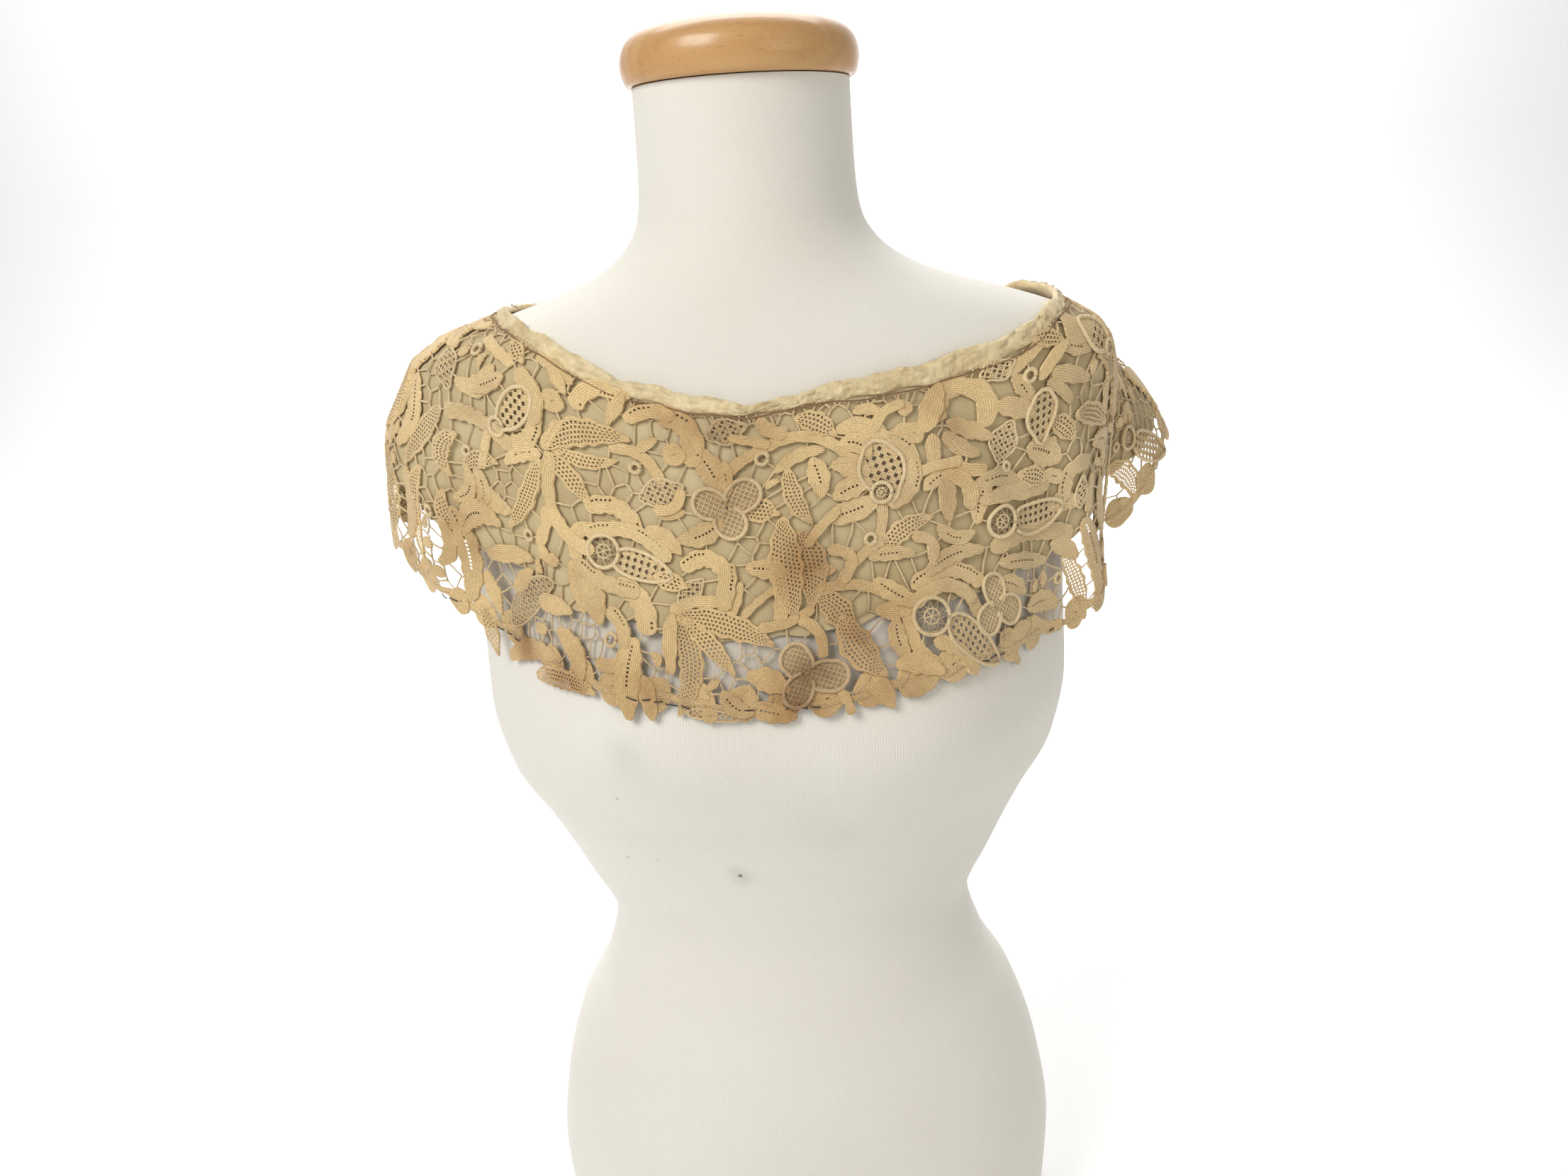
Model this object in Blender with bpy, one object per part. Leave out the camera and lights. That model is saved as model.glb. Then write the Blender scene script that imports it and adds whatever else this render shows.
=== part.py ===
"""Needle-lace capelet worn round the shoulders of a limbless dress form.

Metres, +Z up, the front faces -Y. The form stands on its own flat base at z = 0 and its axis is the Z axis.
The capelet is one ring-shaped cut of cloth: a place on it is "along" (round the body, measured a tenth of a
metre below the neckline) and "down" (from the neckline towards the hem).
"""
import math

import bmesh
import bpy
import numpy as np
from mathutils import Vector
from mathutils.geometry import delaunay_2d_cdt

MM = 0.001

# Dress form: a padded torso, read at each height
FORM_COLUMNS = ("height", "half_width", "front_depth", "back_depth")
FORM_MM = (
    (0, 158, 102, 116),
    (45, 164, 105, 123),
    (95, 166.5, 106, 127),
    (150, 159, 103, 121),
    (205, 142, 95, 103),
    (240, 123, 89, 88),
    (277, 113.5, 86, 78),
    (317, 130, 91, 78),
    (357, 149, 103, 83),
    (390, 166, 117, 89),
    (430, 172.5, 127, 97),
    (485, 171, 116, 104),
    (535, 174, 100, 106),
    (580, 185, 87, 102),
    (606, 193, 78.5, 96),
    (622, 190, 73.5, 90),
    (634, 174, 70, 85),
    (643, 151, 67, 79),
    (650, 128, 65, 74.5),
    (657, 105, 63.5, 70),
    (668, 81, 61.5, 65),
    (679, 68, 59.5, 61.5),
    (691, 61, 58, 59),
    (706, 58.5, 57, 58),
    (730, 57.5, 56, 56.5),
    (758, 57, 56, 56),
)
FORM_TOP = 758 * MM
FORM_SIDES = 40
BUST_HEIGHT = 437 * MM
BUST_AZIMUTH = math.radians(33)
BUST_LIFT = 10 * MM
BUST_TALL = 52 * MM
BUST_WIDE = math.radians(21)

# Turned wooden cap on the neck
TOUCH_GAP = 0.3 * MM
CAP_COLUMNS = ("radius", "height")
CAP_MM = (
    (57.5, 0),
    (60.5, 2),
    (62.5, 8),
    (62, 15),
    (58.5, 21.5),
    (51, 26),
    (34, 29.5),
    (14, 31),
)
CAP_SIDES = 30

# Neckline, seen from above round the capelet's own centre
CLOTH_CENTRE_X = 14 * MM
CLOTH_CENTRE_Y = 3 * MM
NECK_COLUMNS = ("azimuth", "radius", "binding_width")
NECK_MM = (
    (-180, 88, 10),
    (-150, 96, 10),
    (-120, 123, 10),
    (-92, 149, 9),
    (-76, 143, 9.5),
    (-65, 132.5, 9.5),
    (-56, 120.5, 9.5),
    (-41, 101.5, 9.5),
    (-28, 91.5, 8.5),
    (-12, 85, 7),
    (8, 81.6, 8),
    (30, 88.2, 11.5),
    (43, 98, 12),
    (56, 114, 12),
    (66, 131, 11),
    (76, 142, 10),
    (92, 151, 10),
    (120, 125, 10),
    (150, 97, 10),
)
STAND_OFF_COLUMNS = ("azimuth", "spread", "height")
STAND_OFFS = ((102, 15, 8 * MM), (-95, 14, 3 * MM))

# Fall of the cloth: how far each flute is lifted out of the plain hang, or tucked in
HANG = math.radians(85)
BEND_RADIUS = 26 * MM
CLOTH_GAP = 1.0 * MM
SMOOTHINGS = 24
FLUTE_COLUMNS = ("azimuth", "spread", "lift", "start", "ramp")
FLUTES = (
    (-86, 20, 26, 45 * MM, 15 * MM),
    (-86, 20, -26, 88 * MM, 30 * MM),
    (-116, 9, -6, 60 * MM, 50 * MM),
    (-138, 10, 14, 50 * MM, 50 * MM),
    (-160, 10, -3, 70 * MM, 50 * MM),
    (178, 12, 8, 70 * MM, 50 * MM),
    (155, 9, -4, 70 * MM, 50 * MM),
    (107, 14, 51, -30 * MM, 20 * MM),
    (107, 13, -20, 65 * MM, 60 * MM),
    (133, 9, 12, 40 * MM, 40 * MM),
    (86, 6, -18, 45 * MM, 30 * MM),
    (77, 8, 2, 40 * MM, 50 * MM),
)
# Creases: soft ridges and troughs pressed into the draped cloth, from one place on it to another
CREASE_COLUMNS = ("from_along", "from_down", "to_along", "to_down", "width", "height")
CREASES_MM = (
    (88, 36, 108, 64, 10, 3.4),
    (108, 62, 118, 118, 11, 3.0),
    (128, 30, 134, 70, 10, 1.6),
    (-150, 20, -120, 150, 12, 2.0),
    (10, 60, 14, 165, 13, 1.6),
    (-70, 90, -82, 165, 12, 1.8),
    (60, 100, 70, 165, 12, 1.8),
    (170, 60, 176, 165, 10, 3.0),
    (-212, 60, -206, 165, 10, 3.0),
    (-238, 80, -236, 165, 8, -2.0),
    (420, 60, 428, 160, 14, 2.4),
    (500, 50, 492, 160, 13, 2.0),
    (590, 60, 600, 160, 14, 2.2),
    (680, 60, 672, 160, 13, 2.4),
    (770, 60, 780, 160, 12, 2.4),
)

# The cut
CUT_INNER = 225 * MM
CUT_MID = 100 * MM
HEM_COLUMNS = ("azimuth", "depth")
HEM_MM = (
    (-180, 161),
    (-140, 161),
    (-105, 158),
    (-75, 162),
    (-45, 161),
    (-12, 158),
    (10, 162),
    (40, 160),
    (60, 165),
    (76, 171),
    (86, 162),
    (95, 142),
    (108, 138),
    (122, 150),
    (138, 158),
)
SCALLOP_PITCH = 19 * MM
SCALLOP_DEPTHS = (4.5 * MM, 3 * MM, 5 * MM, 3.5 * MM, 4 * MM)
LINING_DEPTH = 122 * MM
SEAM_RIGHT = math.radians(88)
SEAM_LEFT = math.radians(-95)
SEAM_GAP = 0.3 * MM

# Layers, measured out from the draped cloth's inner face
LINING_INNER = 0.3 * MM
LINING_OUTER = 1.3 * MM
LACE_INNER = 2.9 * MM
LACE_OUTER = 4.2 * MM
RAISED_WORK = 0.9 * MM
BINDING_SECTION_COLUMNS = ("share_of_width", "height")
BINDING_SECTION = (
    (0.0, 1.4 * MM),
    (0.16, -0.3 * MM),
    (0.9, -0.3 * MM),
    (1.0, 2.2 * MM),
    (0.9, 4.9 * MM),
    (0.22, 5.1 * MM),
)
BINDING_STATIONS = 44

# Lace design, in millimetres: each row is one worked motif, from its root to its tip
WORK_COLUMNS = ("kind", "from_along", "from_down", "to_along", "to_down", "bow", "half_width")
FRONT_WORK = (
    # Left tulip and its petals
    ("wheel", -104, 88, -104, 88, 0, 9),
    ("body", -95, 90, -69, 92, 0, 7),
    ("tape", -114, 81, -69, 84, 7, 3.8),
    ("tape", -115, 68, -88, 73, 6, 4.4),
    ("tape", -118, 98, -82, 104, -3, 4),
    ("tape", -92, 103, -74, 121, 5, 5.6),
    ("leaf", -116, 103, -100, 122, 1, 7.5),
    ("ladder", -72, 94, -59, 96, 0, 5),
    ("tape", -118, 97, -108, 78, 8, 3.4),
    ("leaf", -80, 72, -64, 79, 1, 5),
    # Trefoil left of the middle
    ("lobe", -49, 53, -49, 53, 0, 7.5),
    ("lobe", -28, 46, -28, 46, 0, 7.5),
    ("lobe", -36, 61, -36, 61, 0, 7.8),
    ("leaf", -58, 29, -43, 47, 2, 6.5),
    ("leaf", -41, 32, -38, 46, 0, 3.5),
    ("ladder", -30, 54, -11, 57, 1, 6),
    ("leaf", -43, 62, -62, 73, 2, 5.5),
    # Scrolls and buds above it
    ("tape", -100, 20, -76, 14, 3, 3.6),
    ("tape", -82, 14, -61, 33, 7, 5.4),
    ("round", -71, 32, -71, 32, 0, 5.5),
    ("tape", -107, 36, -77, 47, 5, 2.8),
    ("leaf", -92, 34, -83, 27, 0, 2.6),
    ("ring", -92, 43, -92, 43, 0, 3.4),
    ("net", -84, 56, -68, 48, 0, 7),
    ("tape", -78, 61, -65, 49, -4, 2.6),
    ("leaf", -77, 63, -63, 59, -1, 2.6),
    ("net", -49, 19, -32, 13, 0, 6.4),
    ("tape", -38, 19, -14, 23, 1, 2.2),
    ("tape", -40, 38, -8, 22.5, 3, 2.8),
    ("tape", -19, 10, -3, 19, -2, 3.2),
    ("ring", -18, 29, -18, 29, 0, 4),
    # Big scroll with a bud under the trefoil
    ("tape", -59, 86, -37, 87, 6, 4.4),
    ("tape", -37, 83, -39, 103, 1, 4.6),
    ("tape", -37, 102, -63, 109, -3, 3),
    ("net", -59, 103, -51, 93, 0, 5),
    ("leaf", -34, 107, -30, 91, 0, 3),
    ("tape", -28, 107, -11, 94, 1, 2),
    ("leaf", -25, 83, -7, 88, 1, 5),
    # Fan of leaves below the scroll
    ("ladder", -58, 112, -16, 121, 4, 6.5),
    ("leaf", -63, 112, -60, 139, -1, 3.8),
    ("ladder", -60, 112, -54, 158, 6, 6),
    ("ladder", -56, 113, -33, 135, 1, 4.8),
    ("tape", -95, 117, -83, 132, 3, 3.6),
    ("tape", -83, 130, -96, 144, 7, 3.6),
    ("leaf", -79, 130, -76, 164, -2, 7),
    ("ring", -91, 131, -91, 131, 0, 4.4),
    ("leaf", -72, 146, -66, 163, 0, 4.5),
    ("leaf", -36, 147, -25, 155, -2, 4.8),
    ("net", -51, 158, -30, 158, 0, 2.6),
    ("leaf", -24, 137, -9, 145, 1, 6),
    ("leaf", -24, 153, -6, 160, 0, 5),
    ("round", -42, 158, -42, 158, 0, 4),
    # Brown openwork leaf in the middle
    ("ladder", -7, 64, -3, 109, -1, 8.5),
    ("ladder", 3, 72, 6, 106, 3, 7.5),
    ("tape", -15, 80, -10, 110, 3, 4),
    ("leaf", 8, 91, 18, 92, 0, 3),
    ("tape", -20, 113, 6, 109, -2, 2.6),
    ("tape", 0, 113, 9, 133, 4, 2.6),
    # Trefoil at the hem
    ("lobe", -4, 131, -4, 131, 0, 7.4),
    ("lobe", -3, 148, -3, 148, 0, 7.8),
    ("lobe", 13, 144, 13, 144, 0, 7.4),
    # Stem along the top and its leaves
    ("tape", -9, 22, 33, 36, 4, 2.8),
    ("ladder", 7, 14, 27, 25, 1, 5.5),
    ("leaf", -9, 36, 19, 32, 2, 3.4),
    ("ladder", -3, 38, 8, 65, -2, 4.6),
    ("leaf", 13, 37, 16, 53, 1, 5.4),
    ("leaf", 43, 17, 58, 21, 2, 3),
    ("tape", 52, 28, 72, 18, 3, 2.4),
    ("round", 73, 21, 73, 21, 0, 3.6),
    # Middle tulip and its petals
    ("body", 51, 39, 54, 59, 0, 11),
    ("wheel", 50, 59, 50, 59, 0, 5.6),
    ("leaf", 32, 24, 59, 36, 4, 5),
    ("leaf", 33, 31, 46, 38, 2, 5),
    ("leaf", 27, 41, 43, 46, 1, 6),
    ("leaf", 25, 56, 43, 53, 1, 5.5),
    ("leaf", 20, 66, 48, 62, -1, 5.8),
    ("tape", 58, 33, 69, 53, 5, 4),
    ("tape", 70, 48, 55, 65, 5, 4.2),
    ("tape", 61, 40, 74, 31, 4, 3.2),
    ("round", 75, 34, 75, 34, 0, 5.2),
    # Stems and leaves between the tulips
    ("tape", 50, 65, 43, 85, 1, 2.5),
    ("tape", 46, 83, 20, 100, -2, 2.6),
    ("tape", 6, 77, 24, 63, 1, 2.5),
    ("ring", 40, 81, 40, 81, 0, 3.8),
    ("tape", 18, 82, 22, 98, 8, 3),
    ("ladder", 47, 88, 74, 77, 3, 5.2),
    ("leaf", 39, 90, 60, 93, 1, 3.8),
    ("tape", 64, 85, 70, 98, 5, 3),
    ("tape", 9, 101, 41, 108, 3, 2.8),
    ("leaf", 40, 103, 56, 117, -1, 5.2),
    ("leaf", 38, 117, 54, 119, -1, 4.6),
    ("ladder", 11, 105, 22, 124, 2, 7),
    ("ladder", 20, 119, 34, 147, -2, 8),
    ("leaf", 31, 150, 36, 164, 0, 5.2),
    ("tape", 15, 152, 19, 164, 1, 2.2),
    ("round", 9, 162, 9, 162, 0, 8),
    ("round", 28, 166, 28, 166, 0, 6.5),
    # Right tulip, its petals and the hem below it
    ("wheel", 62, 126, 62, 126, 0, 10),
    ("body", 73, 133, 90, 157, -1, 9),
    ("tape", 55, 118, 87, 124, 8, 3.6),
    ("tape", 58, 109, 94, 117, 7, 4.4),
    ("leaf", 66, 104, 99, 101, 3, 4.4),
    ("tape", 52, 120, 60, 151, -5, 3.4),
    ("leaf", 45, 124, 47, 143, -2, 4.6),
    ("leaf", 43, 146, 60, 154, 2, 5.4),
    ("leaf", 43, 160, 57, 157, 0, 5),
    ("tape", 62, 139, 77, 160, 3, 4),
    ("tape", 82, 117, 88, 133, 2, 3.6),
    ("round", 69, 162, 69, 162, 0, 7.6),
    ("lobe", 101, 122, 101, 122, 0, 7),
    ("lobe", 93, 138, 93, 138, 0, 7.6),
    ("lobe", 109, 137, 109, 137, 0, 8),
    ("leaf", 107, 121, 121, 132, 1, 4.6),
    ("leaf", 78, 164, 100, 166, 0, 4),
    ("tape", 104, 150, 108, 167, 0, 2.4),
    ("leaf", 108, 153, 122, 151, 1, 4.5),
    ("round", 114, 168, 114, 168, 0, 8),
    # Crumpled part right of the middle
    ("leaf", 82, 33, 94, 15, 0, 5),
    ("leaf", 84, 38, 83, 52, 0, 3.4),
    ("tape", 72, 54, 96, 53, 1, 2.6),
    ("leaf", 76, 62, 91, 57, 1, 4.4),
    ("leaf", 88, 60, 85, 80, 0, 4.6),
    ("leaf", 79, 84, 96, 91, -4, 4),
    ("tape", 89, 30, 108, 16, 4, 4.4),
    ("tape", 105, 17, 115, 39, 6, 4.4),
    ("leaf", 91, 39, 105, 53, -1, 3.6),
    ("leaf", 95, 34, 115, 47, 0, 4.4),
    ("net", 118, 58, 127, 45, 0, 7),
    ("tape", 91, 53, 107, 61, -1, 2.8),
    ("tape", 88, 58, 98, 77, 5, 3.4),
    ("leaf", 101, 86, 109, 64, 1, 4.2),
    ("leaf", 104, 66, 128, 73, 2, 4.4),
    ("net", 122, 17, 135, 14, 0, 6),
    ("ring", 121, 64, 121, 64, 0, 3.2),
    # Tulip by the right shoulder
    ("wheel", 114, 91, 114, 91, 0, 8.5),
    ("body", 124, 95, 154, 99, 0, 8),
    ("leaf", 106, 76, 148, 84, 1, 5.4),
    ("ladder", 131, 71, 146, 80, 1, 5),
    ("tape", 107, 103, 162, 119, 6, 4.6),
    ("leaf", 110, 112, 142, 122, 0, 4.4),
    ("leaf", 152, 96, 168, 104, 1, 5),
    ("tape", 161, 97, 179, 88, 8, 4.2),
    ("net", 170, 106, 173, 94, 0, 4),
    ("tape", 184, 99, 176, 112, -2, 3.4),
    ("body", 150, 39, 147, 55, 0, 9.5),
    ("leaf", 140, 60, 158, 74, 1, 7.4),
    ("ladder", 157, 53, 169, 69, 1, 4.6),
    ("leaf", 124, 33, 141, 42, 1, 5.2),
    ("leaf", 136, 22, 143, 36, 0, 3.8),
    ("ring", 145, 24, 145, 24, 0, 4),
    ("tape", 134, 19, 162, 13, 1, 2.8),
    ("ladder", 156, 10, 174, 20, 1, 4),
    ("leaf", 152, 28, 176, 22, 1, 3.4),
    ("tape", 157, 33, 172, 51, 1, 2.6),
    ("leaf", 162, 30, 187, 47, 0, 4),
    ("leaf", 174, 22, 192, 34, 0, 4),
    ("leaf", 160, 86, 148, 77, 0, 3.6),
    ("ladder", 175, 60, 200, 78, 2, 5.4),
    ("leaf", 126, 143, 148, 150, 3, 6),
    ("tape", 126, 150, 150, 163, -2, 3),
    ("ladder", 157, 128, 167, 168, 2, 5.6),
    ("leaf", 150, 117, 165, 132, 1, 4.6),
    ("ring", 151, 137, 151, 137, 0, 3.6),
    ("leaf", 172, 118, 178, 160, 2, 6),
    # Fan of openwork leaves on the left
    ("ladder", -142, 48, -101, 30, 5, 6.4),
    ("ladder", -138, 49, -104, 42, -2, 3.6),
    ("ladder", -140, 53, -116, 66, 1, 5.2),
    ("ladder", -146, 59, -161, 98, 2, 5),
    ("leaf", -147, 55, -168, 68, -2, 4.4),
    ("tape", -143, 50, -138, 35, 0, 2.2),
    ("round", -144, 27, -144, 27, 0, 5.4),
    ("tape", -139, 54, -134, 82, -2, 3.2),
    ("tape", -135, 79, -111, 89, -4, 3.8),
    ("tape", -138, 80, -142, 99, 1, 3.2),
    ("tape", -142, 97, -130, 103, -4, 3),
    ("ring", -150, 99, -150, 99, 0, 3.4),
    ("tape", -104, 9, -131, 23, -6, 3.8),
    ("leaf", -106, 9, -111, 24, 0, 3),
    ("tape", -161, 11, -137, 14, 1, 2.8),
    ("leaf", -148, 13, -139, 20, 0, 3),
    # Tulip on the left shoulder
    ("body", -161, 32, -174, 50, 0, 8),
    ("wheel", -178, 54, -178, 54, 0, 5),
    ("tape", -170, 24, -153, 40, 6, 4.4),
    ("tape", -152, 38, -166, 58, 5, 4.4),
    ("leaf", -183, 30, -202, 44, 1, 4.4),
    ("leaf", -192, 30, -214, 46, 1, 4.6),
    ("tape", -168, 60, -214, 62, -4, 4),
    ("ladder", -172, 17, -188, 12, 0, 4),
    ("tape", -179, 21, -216, 19, 1, 3),
    ("ring", -213, 27, -213, 27, 0, 4),
    ("ring", -196, 75, -196, 75, 0, 3.2),
    ("ladder", -195, 82, -176, 72, 2, 4.4),
    ("leaf", -207, 72, -204, 90, 0, 4.6),
    ("leaf", -187, 82, -184, 100, 0, 3.8),
    ("leaf", -196, 100, -193, 84, 0, 4),
    ("leaf", -180, 88, -164, 92, -2, 5),
    ("tape", -184, 60, -184, 78, 0, 2.4),
    # Left side towards the hem
    ("leaf", -191, 114, -171, 101, 1, 5.6),
    ("leaf", -205, 103, -192, 118, 0, 4.4),
    ("leaf", -197, 110, -189, 150, 2, 7.6),
    ("leaf", -175, 121, -149, 111, 1, 4.6),
    ("net", -159, 149, -133, 117, 1, 8.4),
    ("leaf", -136, 128, -118, 124, 1, 4.8),
    ("leaf", -158, 131, -148, 118, 0, 4.6),
    ("leaf", -177, 133, -170, 149, 0, 5),
    ("leaf", -162, 171, -124, 151, 2, 5.4),
    ("ladder", -134, 167, -96, 160, 4, 5),
    ("leaf", -120, 136, -104, 154, 3, 5.4),
    ("ladder", -180, 154, -173, 174, 0, 5.6),
    ("round", -196, 157, -196, 157, 0, 7),
    ("leaf", -121, 101, -110, 120, 0, 4.6),
    ("leaf", -205, 118, -206, 140, 0, 4),
    # Round the shoulders, towards the seams
    ("wheel", 209, 42, 209, 42, 0, 4),
    ("body", 206, 38, 196, 22, 0, 7),
    ("net", -236, 40, -222, 50, 0, 8),
    ("ladder", -222, 66, -238, 102, 0, 6.5),
    ("leaf", -224, 100, -222, 145, 0, 5),
    ("leaf", -236, 108, -235, 142, 0, 5),
    ("leaf", 188, 14, 200, 24, 0, 6),
    ("leaf", 202, 42, 206, 58, 0, 5),
    ("tape", 205, 58, 203, 75, 0, 3),
    ("leaf", 192, 84, 199, 98, 0, 5.4),
    ("round", 190, 160, 190, 160, 0, 6),
    ("leaf", -252, 62, -246, 96, 0, 5),
    ("leaf", -254, 20, -240, 34, 0, 5),
    ("leaf", -258, 108, -254, 148, 0, 6),
    ("tape", -236, 14, -266, 18, 3, 3.4),
    ("leaf", -270, 34, -262, 60, 1, 5.4),
    ("leaf", -272, 84, -268, 120, 0, 5.6),
    ("leaf", -286, 60, -290, 92, 0, 5.6),
    ("leaf", 194, 108, 200, 144, 0, 5.4),
    ("leaf", 212, 92, 214, 140, 0, 5),
    ("leaf", 224, 40, 226, 84, 0, 5),
)
WING_WORK = (
    ("wheel", -306, 105, -306, 105, 0, 7),
    ("body", -298, 111, -276, 132, 0, 8),
    ("leaf", -318, 70, -300, 62, 0, 6),
    ("leaf", -282, 60, -290, 84, 3, 6),
    ("leaf", -322, 118, -306, 140, 0, 6),
    ("leaf", -262, 86, -250, 122, 3, 6),
    ("leaf", -316, 40, -300, 24, 0, 6),
    ("tape", -300, 44, -272, 40, 8, 4),
    ("net", -262, 50, -250, 70, 0, 6),
    ("leaf", -288, 18, -262, 14, 2, 5),
    ("leaf", 282, 60, 286, 96, 0, 5),
    ("leaf", 280, 112, 284, 144, 0, 6),
)
# How a patch's half width swells along it: where on a half wave it begins and ends
TAPERS = {"leaf": (0.16, 0.9), "ladder": (0.16, 0.9), "body": (0.3, 0.8), "net": (0.2, 0.85)}
NET_PITCH = 8.6 * MM
NET_SEED = 11
SITE_GRID = 1.3 * MM
SITE_ROOM = 1.9 * MM
HOLES_ALLOWED = 272
HOLE_LEAST = 4.2 * MM
HOLE_RAYS = 10
HOLE_TURN = 0.2
HOLE_CORNERS = 5
PATCH_RIM = 0.25 * MM
BRIDE_HALF = 0.9 * MM

# Meshing of the cloth: an open net, and a finer one wherever it bends
EDGE_STEP = 12 * MM
LACE_STEP = 20 * MM
LINING_STEP = 22 * MM
BEND_ALLOWED = 0.45 * MM

JERSEY = ((0.86, 0.83, 0.75), 0.85)
WOOD = ((0.60, 0.37, 0.17), 0.38)
GAUZE = ((0.52, 0.39, 0.23), 0.8)
BINDING = ((0.62, 0.50, 0.31), 0.75)
LACE = ((0.50, 0.36, 0.20), 0.85)


def clear_scene():
    for thing in list(bpy.data.objects):
        bpy.data.objects.remove(thing, do_unlink=True)


def smooth_rows(rows, at, scale=MM):
    """Read the other columns of a table at places along its first, with a cubic that never overshoots."""
    table = np.array(rows, float) * scale
    knots, values = table[:, 0], table[:, 1:]
    gaps = np.diff(knots)[:, None]
    slopes = np.diff(values, axis=0) / gaps
    tangents = np.zeros_like(values)
    tangents[0], tangents[-1] = slopes[0], slopes[-1]
    before, after = slopes[:-1], slopes[1:]
    weight_a = 2 * gaps[1:] + gaps[:-1]
    weight_b = gaps[1:] + 2 * gaps[:-1]
    turning = before * after <= 0
    safe_a = np.where(turning, 1.0, before)
    safe_b = np.where(turning, 1.0, after)
    tangents[1:-1] = np.where(turning, 0.0, (weight_a + weight_b) / (weight_a / safe_a + weight_b / safe_b))
    place = np.clip(np.asarray(at, float), knots[0], knots[-1])
    low = np.clip(np.searchsorted(knots, place) - 1, 0, len(knots) - 2)
    return hermite(knots, values, tangents, low, place)


def ring_rows(rows, at, column=1):
    """Read one column of a table that runs round in degrees and closes on itself."""
    table = np.array(rows, float)
    knots = np.concatenate([table[-2:, 0] - 360, table[:, 0], table[:3, 0] + 360])
    values = np.concatenate([table[-2:, column], table[:, column], table[:3, column]])[:, None]
    tangents = np.gradient(values[:, 0], knots)[:, None]
    place = (np.asarray(at, float) - table[0, 0]) % 360 + table[0, 0]
    low = np.clip(np.searchsorted(knots, place, side="right") - 1, 0, len(knots) - 2)
    return hermite(knots, values, tangents, low, place)[..., 0]


def hermite(knots, values, tangents, low, place):
    span = (knots[low + 1] - knots[low])[..., None]
    t = (place - knots[low])[..., None] / span
    start = (2 * t ** 3 - 3 * t ** 2 + 1) * values[low] + (t ** 3 - 2 * t ** 2 + t) * span * tangents[low]
    end = (3 * t ** 2 - 2 * t ** 3) * values[low + 1] + (t ** 3 - t ** 2) * span * tangents[low + 1]
    return start + end


def turn_between(a, b):
    return (a - b + math.pi) % (2 * math.pi) - math.pi


def bell(distance, spread):
    return np.exp(-(distance / spread) ** 2)


def ease(t):
    t = np.clip(t, 0, 1)
    return t * t * (3 - 2 * t)


# Dress form

def form_radius(azimuth, height):
    """Distance from the axis to the form's cover. Azimuth 0 faces the front and turns towards +X."""
    sizes = smooth_rows(FORM_MM, height)
    half_width, front, back = sizes[..., 0], sizes[..., 1], sizes[..., 2]
    facing = np.cos(azimuth)
    depth = np.where(facing >= 0, front, back)
    radius = 1 / np.sqrt((np.sin(azimuth) / half_width) ** 2 + (facing / depth) ** 2)
    lobes = sum(bell(turn_between(azimuth, side * BUST_AZIMUTH), BUST_WIDE) for side in (-1, 1))
    return radius + BUST_LIFT * lobes * bell(height - BUST_HEIGHT, BUST_TALL)


def clearance(x, y, z):
    """Distance off the form's cover, allowing for its slope."""
    azimuth = np.arctan2(x, -y)
    slope = (form_radius(azimuth, z + MM) - form_radius(azimuth, z - MM)) / (2 * MM)
    return (np.hypot(x, y) - form_radius(azimuth, z)) / np.sqrt(1 + slope ** 2)


def form_heights():
    knots = [row[0] * MM for row in FORM_MM]
    heights = []
    for low, high in zip(knots[:-1], knots[1:]):
        parts = 2 if high - low > 54 * MM and low > 0.3 else 1
        heights += [low + (high - low) * k / parts for k in range(parts)]
    return heights + [FORM_TOP]


def lofted(name, rings, material):
    """A closed body through rings of points, with a flat cap at each end."""
    mesh = bmesh.new()
    loops = [[mesh.verts.new(point) for point in ring] for ring in rings]
    count = len(loops[0])
    for lower, upper in zip(loops[:-1], loops[1:]):
        for k in range(count):
            after = (k + 1) % count
            mesh.faces.new((lower[k], lower[after], upper[after], upper[k]))
    mesh.faces.new(loops[0][::-1])
    mesh.faces.new(loops[-1])
    bmesh.ops.recalc_face_normals(mesh, faces=mesh.faces)
    return finished(name, mesh, material)


def finished(name, mesh, material, smooth=True):
    data = bpy.data.meshes.new(name)
    mesh.to_mesh(data)
    mesh.free()
    thing = bpy.data.objects.new(name, data)
    bpy.context.collection.objects.link(thing)
    data.materials.append(material)
    if smooth:
        data.shade_smooth()
        data.set_sharp_from_angle(angle=math.radians(40))
    return thing


def material(name, look):
    colour, roughness = look
    finish = bpy.data.materials.new(name)
    finish.use_nodes = True
    shader = finish.node_tree.nodes["Principled BSDF"]
    shader.inputs["Base Color"].default_value = (*colour, 1)
    shader.inputs["Roughness"].default_value = roughness
    return finish


def build_form():
    rings = []
    for height in form_heights():
        half_width, front, back = smooth_rows(FORM_MM, height)
        ring = []
        for k in range(FORM_SIDES):
            turn = 2 * math.pi * k / FORM_SIDES
            depth = front if math.cos(turn) >= 0 else back
            azimuth = math.atan2(half_width * math.sin(turn), depth * math.cos(turn))
            radius = float(form_radius(azimuth, height))
            ring.append((radius * math.sin(azimuth), -radius * math.cos(azimuth), height))
        rings.append(ring)
    lofted("form_body", rings, material("jersey", JERSEY))


def build_cap():
    rings = []
    for radius, height in CAP_MM:
        level = FORM_TOP + TOUCH_GAP + height * MM
        turns = [2 * math.pi * k / CAP_SIDES for k in range(CAP_SIDES)]
        rings.append([(radius * MM * math.cos(a), radius * MM * math.sin(a), level) for a in turns])
    lofted("neck_cap", rings, material("turned_wood", WOOD))


# Draped cloth

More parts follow.
